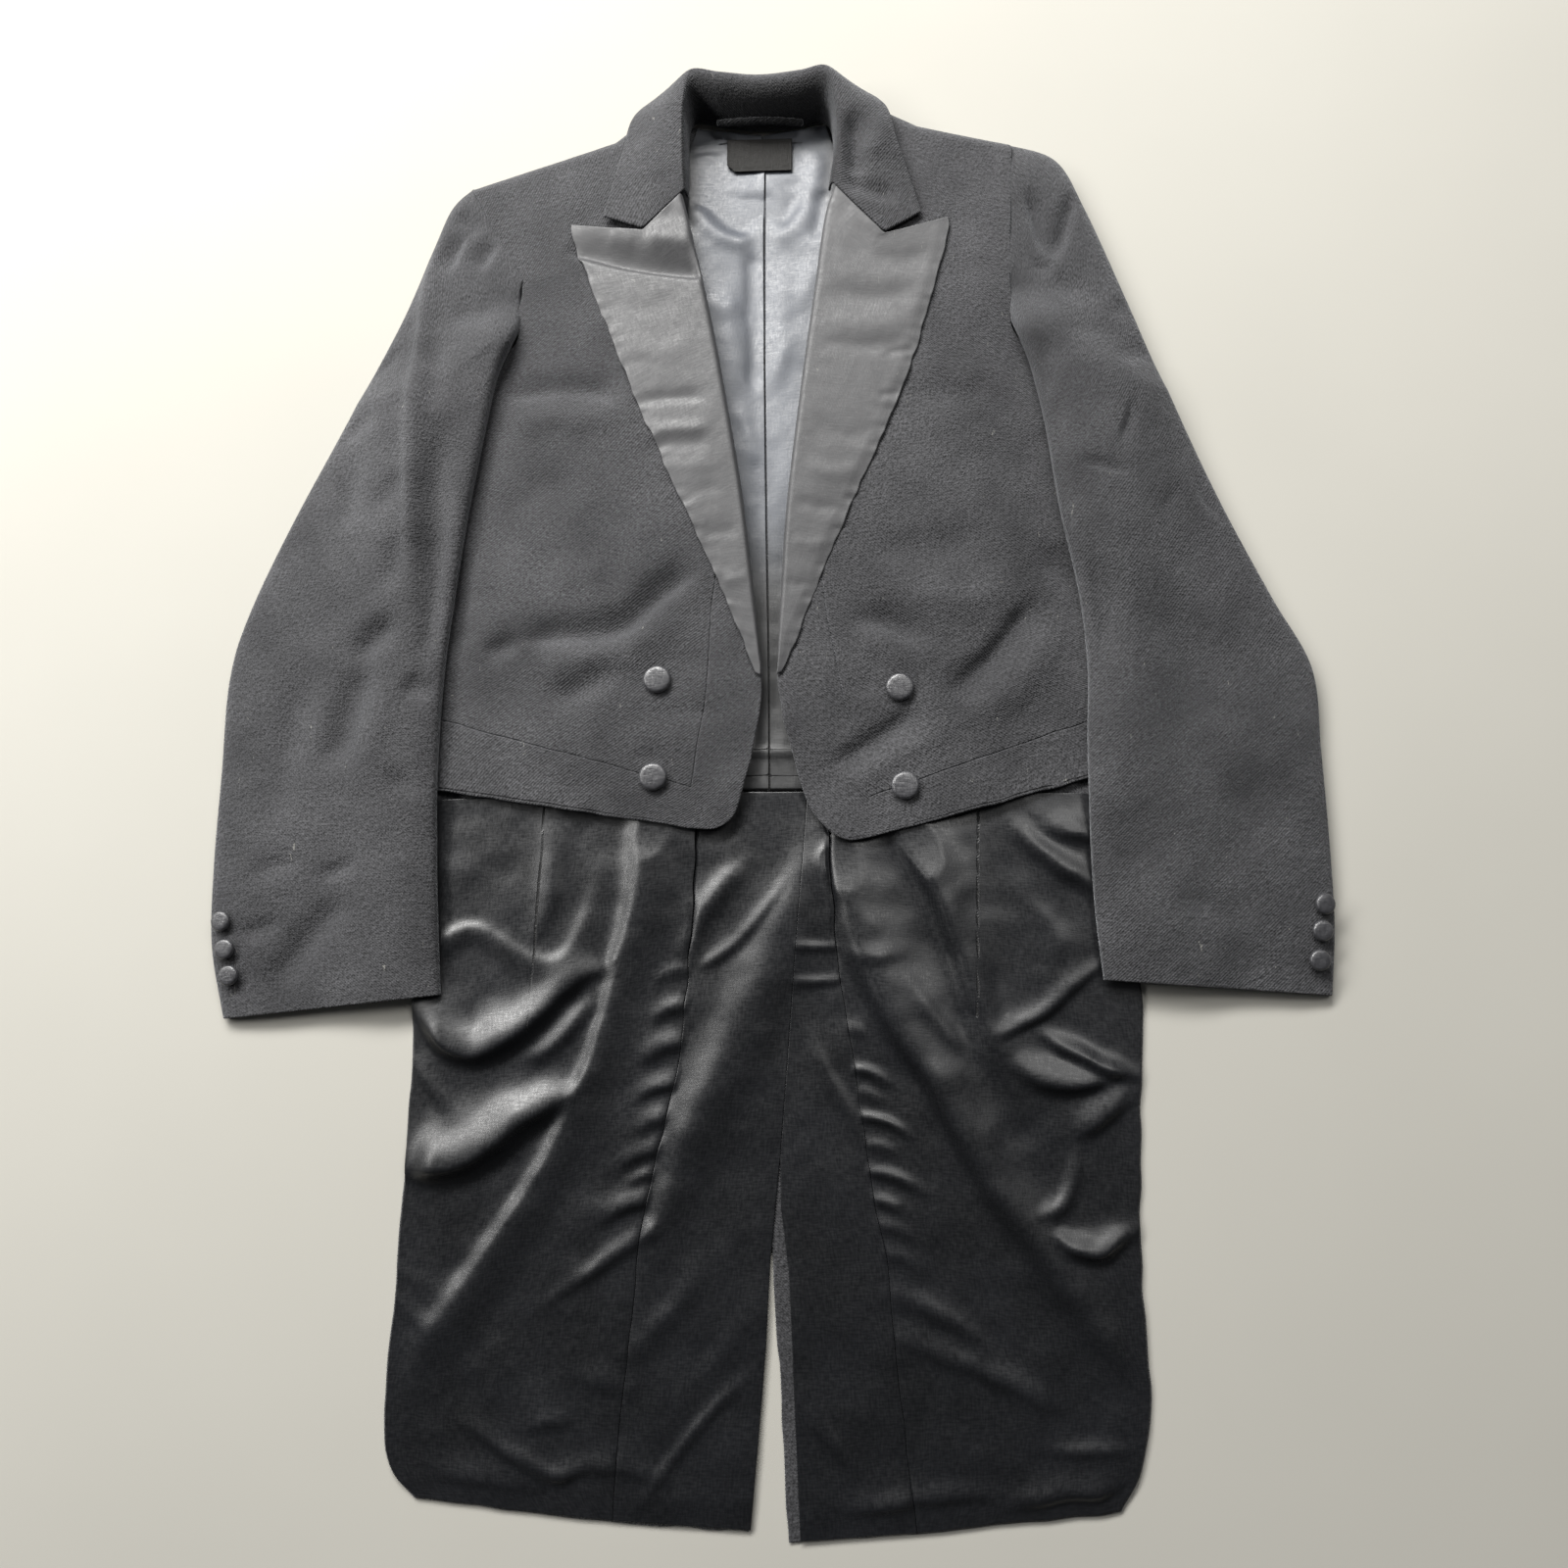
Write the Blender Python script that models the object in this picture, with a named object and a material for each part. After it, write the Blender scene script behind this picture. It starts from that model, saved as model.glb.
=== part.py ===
"""White tie tailcoat laid flat on its back, fronts and sleeves uppermost.

The coat lies on the plane z = 0 with its neck towards +Y and its tails towards -Y. Each piece of cloth
is a closed wall over a grid of points. The grids come from short tables of sections in millimetres,
and what lies on another piece is made from that piece's own points or height, moved out.
"""
import math
from collections import namedtuple

import bpy
import numpy as np

MM = 0.001

# Cloth and trim thicknesses, mm
SEAM_GAP = 0.3
WOOL = 1.6
FRONT_WALL = 2.5
SLEEVE_WALL = 1.6
LINING = 1.0
LAPEL_WALL = 2.2
COLLAR_WALL = 3.0
LABEL_WALL = 0.8

# Buttons and label, mm
FRONT_BUTTON = 20.0
CUFF_BUTTON = 14.5
BUTTON_DEPTH = 4.4
LABEL_SIZE = (51.0, 28.0)
LABEL_CORNER = 6.0
LABEL_PLACE = (-3.5, 468.0)

# Roundings of the body at its side fold and shoulder, mm
SIDE_ROUND = 10.0
SHOULDER_ROUND = 14.0
SHOULDER_BOW = 8.0
ROLL_ROUND = 4.0
ROLL_DROP = 5.0
LAPEL_LIFT = 0.6
EDGE_UNDER_ROLL = 4.2
SLEEVE_CLEARANCE = 1.8

# Height along the coat of the waist seam of the linings, mm
WAIST_Y = -36.0

Front = namedtuple("Front", "edge_x edge_y dart_x dart_y side_x side_y wrap")
FRONTS = {
    "left": [
        Front(-24, -64.5, -53, -62.5, -243, -33, 1.0),
        Front(-12.5, -33, -50.6, -33.4, -243, 20, 1.0),
        Front(0.2, 40, -40.4, 38, -246, 85, 1.0),
        Front(-4.9, 100, -36.5, 102, -250, 140, 1.0),
        Front(-12, 160, -31, 160, -252, 195, 1.0),
        Front(-22.5, 235, -48, 232, -251, 240, 1.0),
        Front(-31.3, 285, -60, 281, -247, 264, 1.0),
        Front(-36, 310, -66, 308, -191.8, 304, 0.0),
        Front(-43, 345, -74, 343, -187.2, 331, 0.0),
        Front(-53.2, 390, -84, 387, -184.7, 356.5, 0.0),
        Front(-62, 428, -92, 424, -202.5, 391, 0.0),
        Front(-66, 470, -102, 456, -218.7, 422, 0.0),
        Front(-80, 506, -118, 478, -228.6, 441, 0.0),
    ],
    "right": [
        Front(55, -74.5, 79, -70, 245, -25, 1.0),
        Front(31, -40, 76.4, -41.2, 246, 18, 1.0),
        Front(11, 40, 57, 40, 248, 80, 1.0),
        Front(12.8, 100, 46, 100, 251, 135, 1.0),
        Front(16.6, 160, 40, 160, 252, 190, 1.0),
        Front(24.6, 235, 54, 232, 250, 238, 1.0),
        Front(31, 285, 63, 281, 246, 262, 1.0),
        Front(34, 310, 68, 308, 191.8, 305, 0.0),
        Front(39, 345, 74, 343, 187.2, 333, 0.0),
        Front(47, 390, 82, 387, 186.2, 361, 0.0),
        Front(55, 428, 92, 424, 187.6, 396, 0.0),
        Front(60, 470, 100, 462, 189.1, 432, 0.0),
        Front(76, 508, 122, 485, 190.5, 468, 0.0),
    ],
}
STRAP_SEAM_ROW = 1
LAPEL_START_ROW = 2
DART_TOP_ROW = 4

Lapel = namedtuple("Lapel", "roll_x roll_y mid_x mid_y edge_x edge_y")
LAPELS = {
    "left": [
        Lapel(-0.2, 48, -2.2, 48.5, -5, 49.5),
        Lapel(-4.5, 96, -13, 98, -25.2, 101),
        Lapel(-14.6, 185, -30, 181, -56, 171.4),
        Lapel(-31.3, 285.5, -56, 276, -94, 257),
        Lapel(-43, 345, -72, 340, -122, 329),
        Lapel(-55, 398, -86, 377, -144, 385),
        Lapel(-61, 423.2, -91, 393.2, -147.8, 401),
    ],
    "right": [
        Lapel(11, 48, 12.8, 48.3, 15, 49),
        Lapel(13, 96, 20, 94, 32.5, 93.5),
        Lapel(17.7, 175.5, 34, 171, 62.5, 168),
        Lapel(29, 272, 56, 266, 103.5, 262),
        Lapel(39, 345, 70, 340, 126.5, 333),
        Lapel(46.5, 400, 83, 377, 139.5, 386),
        Lapel(54, 426.2, 92, 385.2, 141.6, 400),
    ],
}

Collar = namedtuple("Collar", "in_x in_y in_z roll_x roll_y roll_z mid_x mid_y leaf_x leaf_y leaf_z")
COLLAR = [
    Collar(-57.5, 425, 17, -61, 424.2, 27, -91, 394.2, -122, 405.5, 25.5),
    Collar(-57.5, 441, 12, -61.8, 441, 30, -86, 436, -114.5, 436, 25.5),
    Collar(-58, 462, 8, -62, 462, 33, -84, 461, -108.5, 459, 25),
    Collar(-58, 488, 5, -61, 493, 37, -79, 494, -99, 494, 22),
    Collar(-51, 497, 4, -54.5, 517, 38, -61, 522, -68, 526, 6),
    Collar(-30, 492.5, 4, -31, 513.5, 38, -33, 523, -35, 532, 1.5),
    Collar(-2, 489, 4, -2, 508.5, 38, -2, 521, -2, 533, 1.2),
    Collar(25, 490.5, 4, 27, 512.5, 38, 29, 523, 32, 532, 1.5),
    Collar(45, 494.5, 4, 48.5, 517, 38, 55, 522, 62, 526, 6),
    Collar(52.5, 486, 5, 57.5, 492, 37, 74, 496, 93, 498, 22),
    Collar(54, 460, 8, 58.5, 461, 33, 80, 462, 103, 462, 25),
    Collar(51.5, 441, 12, 56.5, 441, 30, 84, 433, 111.5, 434, 25.5),
    Collar(50, 427.5, 17, 54, 427.2, 27, 92, 386.2, 120.2, 402.5, 25.5),
]

Back = namedtuple("Back", "centre_x centre_y seam_x seam_y side_x side_y")
BACKS = {
    "left": [
        Back(-7.6, -527, -97.5, -523, -231, -510.5),
        Back(-5.2, -500, -96.8, -499, -249.5, -491),
        Back(-2, -464, -94, -460, -254, -457),
        Back(2.4, -412, -89.3, -412.6, -254, -422),
        Back(4.9, -359, -84.5, -359, -251, -378),
        Back(5, -315, -77.8, -315, -249.5, -325),
        Back(5, -229, -58.8, -229, -247, -237),
        Back(5, -153, -51.5, -153, -248.5, -183),
        Back(5, -90, -48, -90, -247, -100),
        Back(5, WAIST_Y, -47, WAIST_Y, -238.6, -40),
        Back(5, -20, -47, -20, -238.6, -20),
        Back(4, 100, -62, 100, -241.5, 110),
        Back(3, 220, -100, 215, -247.5, 240),
        Back(2, 290, -140, 285, -243.5, 262),
        Back(2, 330, -172, 322, -188, 303),
        Back(1, 360, -176, 340, -186.8, 331),
        Back(0, 400, -178, 372, -184.6, 357),
        Back(-1, 440, -180, 402, -202.3, 391),
        Back(-2, 487, -71, 499, -224.8, 434.5),
    ],
    "right": [
        Back(18.1, -533, 103, -526.5, 236, -511.5),
        Back(16.5, -500, 98.7, -497, 249.5, -486),
        Back(13.6, -446.6, 93.5, -444.6, 257.8, -443),
        Back(10.4, -402, 88.9, -401.8, 256.5, -410),
        Back(7.6, -359, 84.5, -355, 255.5, -365),
        Back(5, -315, 76.5, -315, 256.3, -322),
        Back(5, -237, 65.7, -237, 260.5, -245),
        Back(5, -165, 54.5, -165, 264, -175),
        Back(5, -90, 48.6, -90, 257, -100),
        Back(5, WAIST_Y, 47.5, WAIST_Y, 240.2, -38),
        Back(5, -20, 47.5, -20, 240.2, -20),
        Back(4, 100, 62, 100, 243.5, 110),
        Back(3, 220, 98, 215, 246.5, 238),
        Back(2, 290, 138, 285, 242.5, 260),
        Back(2, 330, 170, 322, 187, 303),
        Back(1, 360, 176, 340, 186.8, 333),
        Back(0, 400, 178, 375, 186.2, 361),
        Back(-1, 440, 176, 410, 187.6, 396),
        Back(-2, 487, 67, 500, 189.6, 462.5),
    ],
}
WAIST_ROW = 9
WOOL_WAIST_ROW = 10
ARMHOLE_ROW = 14

LiningSeam = namedtuple("LiningSeam", "y x")
TAIL_CENTRE_SEAM = {
    "left": [
        LiningSeam(-527, -6.4),
        LiningSeam(-464, -0.8),
        LiningSeam(-412, 3.6),
        LiningSeam(-359, 6.2),
        LiningSeam(-290, 12.9),
        LiningSeam(WAIST_Y, 32.4),
    ],
    "right": [
        LiningSeam(-530, 26.1),
        LiningSeam(-365, 18.9),
        LiningSeam(-323, 13.4),
        LiningSeam(-290, 12.9),
        LiningSeam(WAIST_Y, 32.4),
    ],
}

# How far the middle lining of each tail stops short of the hem, mm
HEM_MARGIN = {"left": 1.5, "right": 3.0}

BodyLining = namedtuple("BodyLining", "seam_x side_left side_right y side_y")
BODY_LINING = [
    BodyLining(5.0, -40, 50, WAIST_Y + 0.3, WAIST_Y + 0.3),
    BodyLining(4.0, -38, 46, 60, 60),
    BodyLining(2.0, -45, 50, 170, 170),
    BodyLining(0.8, -60, 64, 290, 290),
    BodyLining(0.0, -76, 78, 400, 400),
    BodyLining(0.7, -64, 60, 455, 459),
    BodyLining(-2.0, -53, 48, 487, 494.5),
]

Sleeve = namedtuple("Sleeve", "in_x in_y out_x out_y depth")
SLEEVES = {
    "left": [
        Sleeve(-185.3, 356.5, -229.3, 440.8, 19),
        Sleeve(-188.2, 331, -245, 424, 19),
        Sleeve(-192.8, 303, -258, 390, 19),
        Sleeve(-201, 275, -279, 333, 18),
        Sleeve(-210, 225, -312, 262, 17),
        Sleeve(-219.5, 166, -354, 174, 16),
        Sleeve(-228, 95, -385, 98, 15),
        Sleeve(-232.5, 45, -396, 48, 15),
        Sleeve(-234.3, -15, -397, -20, 14),
        Sleeve(-233, -80, -398, -88, 13),
        Sleeve(-229.5, -135, -395.5, -145, 12),
        Sleeve(-226, -180, -383.5, -197, 10),
    ],
    "right": [
        Sleeve(186.8, 361, 191.2, 467.5, 19),
        Sleeve(188.2, 333, 226, 453, 19),
        Sleeve(192.8, 304, 246, 413, 19),
        Sleeve(200, 275, 272, 344, 18),
        Sleeve(208, 235, 303, 258, 17),
        Sleeve(217, 170, 338, 171, 16),
        Sleeve(229, 105, 369, 103, 15),
        Sleeve(233, 50, 394, 50, 15),
        Sleeve(231, -5, 396.5, -10, 14),
        Sleeve(231, -75, 398, -80, 13),
        Sleeve(232.5, -125, 397.5, -133, 12),
        Sleeve(236.5, -169.5, 393, -180, 10),
    ],
}

Fold = namedtuple("Fold", "x0 y0 x1 y1 x2 y2 height width")
TAIL_FOLDS = [
    Fold(-92, -70, -118, -255, -238, -425, 7.0, 17),
    Fold(-185, -120, -200, -205, -160, -250, 4.0, 16),
    Fold(62, -95, 115, -265, 238, -412, 6.0, 17),
    Fold(130, -85, 190, -200, 235, -320, 4.5, 18),
]

Crown = namedtuple("Crown", "y height")
CROWN = [
    Crown(-75, 10.5),
    Crown(40, 13.0),
    Crown(150, 15.5),
    Crown(260, 18.0),
    Crown(350, 20.0),
    Crown(430, 21.0),
    Crown(520, 20.5),
]

# The fronts sink towards their side folds, from SINK_FROM to SINK_FROM + SINK_OVER from the middle,
# and less so above SINK_TOP along the coat, mm
SIDE_SINK = 0.45
SINK_FROM = 120.0
SINK_OVER = 130.0
SINK_TOP = 290.0
SINK_FADE = 90.0

# A tail's folds begin this far outside its pleat and lose this much height all over, mm
FOLD_MARGIN = 22.0
FOLD_FLOOR = 0.25

# A sleeve rests on the body's side above the waist and on the tail's edge below it, mm
TAIL_REST = 4.2
TAIL_REST_END = -75.0
TAIL_REST_FADE = 35.0
ARMPIT_Y = 345.0
ARMPIT_FADE = 45.0
REST_REACH = 30.0
REST_FADE = 22.0

# Share of a sleeve's depth from what it rests on up to its widest level, and the roundness of its edges
SLEEVE_MIDDLE = 0.35
SLEEVE_SQUARENESS = 3.0
SLEEVE_SEAM_STATION = 9

BLACK_WOOL = ("black_wool", (0.016, 0.016, 0.018), 0.85)
BLACK_SATIN = ("black_silk_satin", (0.020, 0.020, 0.023), 0.38)
GREY_SATIN = ("grey_satin_lining", (0.045, 0.047, 0.055), 0.42)
TAIL_SATIN = ("black_satin_lining", (0.010, 0.010, 0.013), 0.35)
BUTTON_SILK = ("button_silk", (0.022, 0.022, 0.024), 0.5)
LABEL_CLOTH = ("label_cloth", (0.012, 0.011, 0.010), 0.7)


def smoothstep(x):
    """Rise from 0 to 1 with level ends."""
    x = np.clip(x, 0.0, 1.0)
    return x * x * (3.0 - 2.0 * x)


def along(table, rows):
    """Columns of a table read at fractional row numbers, as smooth curves through its rows."""
    data = np.array([list(row) for row in table], float)
    rows = np.asarray(rows, float)
    slope = np.gradient(data, axis=0)
    k = np.clip(rows.astype(int), 0, len(data) - 2)
    t = (rows - k)[:, None]
    a, b = data[k], data[k + 1]
    ma, mb = slope[k], slope[k + 1]
    return (
        (2 * t**3 - 3 * t**2 + 1) * a
        + (t**3 - 2 * t**2 + t) * ma
        + (3 * t**2 - 2 * t**3) * b
        + (t**3 - t**2) * mb
    )


def columns(table, rows):
    """A table's columns by name at fractional row numbers."""
    values = along(table, rows)
    return {name: values[:, i] for i, name in enumerate(table[0]._fields)}


def row_stations(count, extra):
    """Whole row numbers of a table with some fractional ones between them."""
    return np.unique(np.concatenate([np.arange(count), extra]))


def body_height(x, y):
    """Height of the fronts' upper face: highest at the chest, lower at the hem and the sides."""
    knots = np.array(CROWN)
    crown = np.interp(y, knots[:, 0], knots[:, 1])
    low_side = smoothstep((np.abs(x) - SINK_FROM) / SINK_OVER)
    low_side *= 1 - smoothstep((y - SINK_TOP) / SINK_FADE)
    return crown * (1 - SIDE_SINK * low_side)


def fold_height(x, y, pleat_x):
    """Height of the tails' folds above the floor, none of it past the pleats."""
    h = np.zeros_like(x)
    for fold in TAIL_FOLDS:
        t = np.linspace(0, 1, 41)
        px = (1 - t) ** 2 * fold.x0 + 2 * t * (1 - t) * fold.x1 + t**2 * fold.x2
        py = (1 - t) ** 2 * fold.y0 + 2 * t * (1 - t) * fold.y1 + t**2 * fold.y2
        far = np.hypot(x[..., None] - px, y[..., None] - py)
        nearest = far.argmin(-1)
        start = smoothstep(6 * t[nearest])
        end = smoothstep(3 * (1.05 - t[nearest]))
        h = np.maximum(h, fold.height * start * end * np.exp(-((far.min(-1) / fold.width) ** 2)))
    clear = smoothstep((np.abs(x) - np.abs(pleat_x)) / FOLD_MARGIN)
    return np.maximum(0.0, h * clear - FOLD_FLOOR)


def normals_of(grid):
    """Unit normals of a grid of points, on the side that the grid's rows and columns give."""
    across = np.gradient(grid, axis=1)
    down = np.gradient(grid, axis=0)
    n = np.cross(across, down)
    return n / np.maximum(np.linalg.norm(n, axis=-1, keepdims=True), 1e-9)


def upward(n):
    """The same normals turned so that most of them point up."""
    return n if n[..., 2].mean() > 0 else -n


def inset_edges(grid, keep, gap):
    """Boundary points of the kept cells moved inwards in plan by the gap."""
    rows, cols = keep.shape
    push = np.zeros((rows + 1, cols + 1, 2))
    hits = np.zeros((rows + 1, cols + 1))
    padded = np.zeros((rows + 2, cols + 2), bool)
    padded[1:-1, 1:-1] = keep
    for i in range(rows):
        for j in range(cols):
            if not keep[i, j]:
                continue
            centre = grid[i:i + 2, j:j + 2, :2].mean((0, 1))
            sides = (
                (padded[i, j + 1], (i, j), (i, j + 1)),
                (padded[i + 2, j + 1], (i + 1, j), (i + 1, j + 1)),
                (padded[i + 1, j], (i, j), (i + 1, j)),
                (padded[i + 1, j + 2], (i, j + 1), (i + 1, j + 1)),
            )
            for inside, a, b in sides:
                if inside:
                    continue
                edge = grid[b][:2] - grid[a][:2]
                n = np.array([-edge[1], edge[0]])
                n /= max(np.linalg.norm(n), 1e-9)
                if n @ (centre - grid[a][:2]) < 0:
                    n = -n
                for point in (a, b):
                    push[point] += n
                    hits[point] += 1
    length = np.linalg.norm(push, axis=-1)
    two = hits >= 2
    scale = np.where(two, 2.0 / np.maximum(length**2, 0.5), 1.0)
    moved = grid.copy()
    moved[..., :2] += gap * push * scale[..., None]
    return moved


def material(spec):
    """A plain Principled material from a name, a linear colour and a roughness."""
    name, colour, roughness = spec
    mat = bpy.data.materials.get(name)
    if mat is None:
        mat = bpy.data.materials.new(name)
        mat.use_nodes = True
        shader = mat.node_tree.nodes["Principled BSDF"]
        shader.inputs["Base Color"].default_value = (*colour, 1.0)
        shader.inputs["Roughness"].default_value = roughness
        shader.inputs["Metallic"].default_value = 0.0
        mat.diffuse_color = (*colour, 1.0)
    return mat


def add_object(name, points, faces, spec):
    """A smooth-shaded object of the given points (mm) and faces."""
    mesh = bpy.data.meshes.new(name)
    mesh.from_pydata((np.asarray(points) * MM).tolist(), [], [list(map(int, f)) for f in faces])
    mesh.update()
    mesh.materials.append(material(spec))
    mesh.shade_smooth()
    mesh.set_sharp_from_angle(angle=math.radians(40))
    obj = bpy.data.objects.new(name, mesh)
    bpy.context.scene.collection.objects.link(obj)
    return obj


def cloth_wall(name, outer, inner, spec, keep=None, gap=SEAM_GAP / 2):
    """A closed wall between an outer and an inner grid of points (mm) over the kept cells.

    The wall's edge is drawn in by the gap, and its faces are turned to point out.
    """
    if keep is None:
        keep = np.ones((outer.shape[0] - 1, outer.shape[1] - 1), bool)
    moved = inset_edges(outer, keep, gap)
    layers = (moved, inner + moved - outer)
    used = {}
    points = []

    def vertex(layer, i, j):
        key = (layer, i, j)
        if key not in used:
            used[key] = len(points)
            points.append(layers[layer][i, j])
        return used[key]

    faces = []
    edges = {}
    for i, j in zip(*np.nonzero(keep)):
        ring = [(i, j), (i, j + 1), (i + 1, j + 1), (i + 1, j)]
        top = [vertex(0, *p) for p in ring]
        low = [vertex(1, *p) for p in ring]
        faces += [(top[0], top[1], top[2]), (top[0], top[2], top[3])]
        faces += [(low[2], low[1], low[0]), (low[3], low[2], low[0])]
        for k in range(4):
            a, b = top[k], top[(k + 1) % 4]
            c, d = low[k], low[(k + 1) % 4]
            if (b, a) in edges:
                del edges[(b, a)]
            else:
                edges[(a, b)] = (c, d)
    for (a, b), (c, d) in edges.items():
        faces += [(b, a, c), (b, c, d)]
    p = np.array(points)
    f = np.array(faces)
    volume = np.einsum("ij,ij->i", p[f[:, 0]], np.cross(p[f[:, 1]], p[f[:, 2]])).sum()
    if volume < 0:
        f = f[:, ::-1]
    return add_object(name, p, f, spec)


def spread(a, b, c, fractions, middle):
    """Points along a - b - c in plan, b being at the middle fraction."""
    f = np.asarray(fractions)[None, :, None]
    first = a[:, None] + (b - a)[:, None] * (f / middle)
    second = b[:, None] + (c - b)[:, None] * ((f - middle) / (1 - middle))
    return np.where(f <= middle, first, second)


def front_grid(side):
    """Points of one front's upper face from its edge to its side fold, hem to shoulder."""
    table = FRONTS[side]
    last = len(table) - 1
    rows = row_stations(len(table), [last - 0.32, last - 0.16, last - 0.04])
    col = columns(table, rows)
    edge = np.stack([col["edge_x"], col["edge_y"]], -1)
    dart = np.stack([col["dart_x"], col["dart_y"]], -1)
    fold = np.stack([col["side_x"], col["side_y"]], -1)
    across = np.array([0.0, 0.25, 0.47, 0.72])
    inner = spread(edge, dart, fold, across, 0.25)
    near = SIDE_ROUND * np.array([1.0, 0.5, 0.134, 0.0])
    out = fold - dart
    out /= np.linalg.norm(out, axis=-1, keepdims=True)
    rounded = fold[:, None] - out[:, None] * near[None, :, None]
    plan = np.concatenate([inner, rounded], 1)
    z = body_height(plan[..., 0], plan[..., 1])
    drop = np.sqrt(np.clip(1 - (1 - near / SIDE_ROUND) ** 2, 0, 1))
    wrap = np.clip(col["wrap"], 0, 1)[:, None]
    z[:, 4:] *= wrap * drop[None] + (1 - wrap)
    for i in np.nonzero(rows > last - 1)[0]:
        inside = np.clip(np.linalg.norm(plan[i] - plan[-1], axis=-1) / SHOULDER_ROUND, 0, 1)
        z[i] *= np.sqrt(1 - (1 - inside) ** 2)
    return rows, np.dstack([plan, z])


def build_front(side):
    """One forepart and its front strap, parted along the dart and the strap seam."""
    rows, top = front_grid(side)
    sign = 1 if side == "right" else -1
    for i, row in enumerate(rows):
        if row > LAPEL_START_ROW:
            top[i, 0, 0] += sign * EDGE_UNDER_ROLL * min(1.0, row - LAPEL_START_ROW)
    inner = top - FRONT_WALL * upward(normals_of(top))
    inner[..., 2] = np.maximum(inner[..., 2], 0.0)
    seam = int(np.searchsorted(rows, STRAP_SEAM_ROW))
    dart_top = int(np.searchsorted(rows, DART_TOP_ROW))
    strap = np.zeros((top.shape[0] - 1, top.shape[1] - 1), bool)
    strap[:seam] = True
    strap[:dart_top, 0] = True
    cloth_wall(f"front_strap_{side}", top, inner, BLACK_WOOL, strap)
    cloth_wall(f"forepart_{side}", top, inner, BLACK_WOOL, ~strap)


def build_lapel(side):
    """The satin facing of one lapel, laid on its forepart and rolled over the forepart's edge."""
    col = columns(LAPELS[side], row_stations(len(LAPELS[side]), [5.5]))
    roll = np.stack([col["roll_x"], col["roll_y"]], -1)
    mid = np.stack([col["mid_x"], col["mid_y"]], -1)
    edge = np.stack([col["edge_x"], col["edge_y"]], -1)
    plan = spread(roll, mid, edge, [0.0, 0.15, 0.35, 0.68, 1.0], 0.35)
    out = mid - roll
    width = np.linalg.norm(out, axis=-1)
    out /= width[:, None]
    round_at = np.minimum(ROLL_ROUND, 0.45 * width)
    near = np.array([0.0, 0.134, 0.5])
    curl = roll[:, None] + out[:, None] * (near[None] * round_at[:, None])[..., None]
    plan[:, 1] = roll + out * np.maximum(round_at, 0.43 * width)[:, None]
    plan = np.concatenate([curl, plan[:, 1:]], 1)
    z = body_height(plan[..., 0], plan[..., 1]) + LAPEL_LIFT + LAPEL_WALL
    drop = np.sqrt(np.clip(1 - (1 - near) ** 2, 0, 1))
    fall = ROLL_DROP * np.minimum(1, width / 12)
    z[:, :3] -= fall[:, None] * (1 - drop[None])
    top = np.dstack([plan, z])
    inner = top - LAPEL_WALL * upward(normals_of(top))
    flat = top[:, 3:] - np.array([0, 0, LAPEL_WALL])
    inner[:, 3:] = flat
    cloth_wall(f"lapel_{side}", top, inner, BLACK_SATIN)


def build_collar():
    """The collar: an inner stand up from the neck seam, a roll, and a leaf laid over the shoulders."""
    rows = row_stations(len(COLLAR), [3.5, 4.5, 7.5, 8.5])
    col = columns(COLLAR, rows)
    inner_edge = np.stack([col["in_x"], col["in_y"], col["in_z"]], -1)
    roll = np.stack([col["roll_x"], col["roll_y"], col["roll_z"]], -1)
    leaf = np.stack([col["leaf_x"], col["leaf_y"], col["leaf_z"]], -1)
    mid = np.stack([col["mid_x"], col["mid_y"]], -1)
    sections = []
    for t in (0.0, 0.4, 0.8):
        bow = inner_edge + (roll - inner_edge) * np.array([t**2, t**2, 1.0]) * np.array([1, 1, 0])
        z = inner_edge[:, 2] + (roll[:, 2] - inner_edge[:, 2]) * math.sin(t * math.pi / 2)
        sections.append(np.column_stack([bow[:, :2], z]))
    for t in (0.0, 0.22, 0.5, 0.75, 1.0):
        plan = spread(roll[:, :2], mid, leaf[:, :2], [t], 0.5)[:, 0]
        fall = t**1.6
        sections.append(np.column_stack([plan, roll[:, 2] + (leaf[:, 2] - roll[:, 2]) * fall]))
    top = np.stack(sections, 1)
    n = normals_of(top)
    if n[..., 2][:, -3].mean() < 0:
        n = -n
    inner = top - COLLAR_WALL * n
    inner[..., 2] = np.maximum(inner[..., 2], 0.3)
    cloth_wall("collar", top, inner, BLACK_WOOL)


def back_grid(side):
    """Plan points of one half of the back and tail, centre to side, hem to neck, and its folds."""
    table = BACKS[side]
    rows = row_stations(len(table), [3.5, 4.5, 5.5, 6.33, 6.66, 7.5, 8.5])
    col = columns(table, rows)
    centre = np.stack([col["centre_x"], col["centre_y"]], -1)
    seam = np.stack([col["seam_x"], col["seam_y"]], -1)
    edge = np.stack([col["side_x"], col["side_y"]], -1)
    plan = spread(centre, seam, edge, [0.0, 0.2, 0.3, 0.4, 0.5, 0.6, 0.7, 0.8, 0.9, 1.0], 0.2)
    share = np.clip((np.linspace(0.1, 1.0, 10) - 0.2) / 0.8, 0, 1)
    plan[-1, :, 1] -= SHOULDER_BOW * 4 * share * (1 - share)
    h = fold_height(plan[..., 0], plan[..., 1], col["seam_x"][:, None])
    return rows, plan, h


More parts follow.
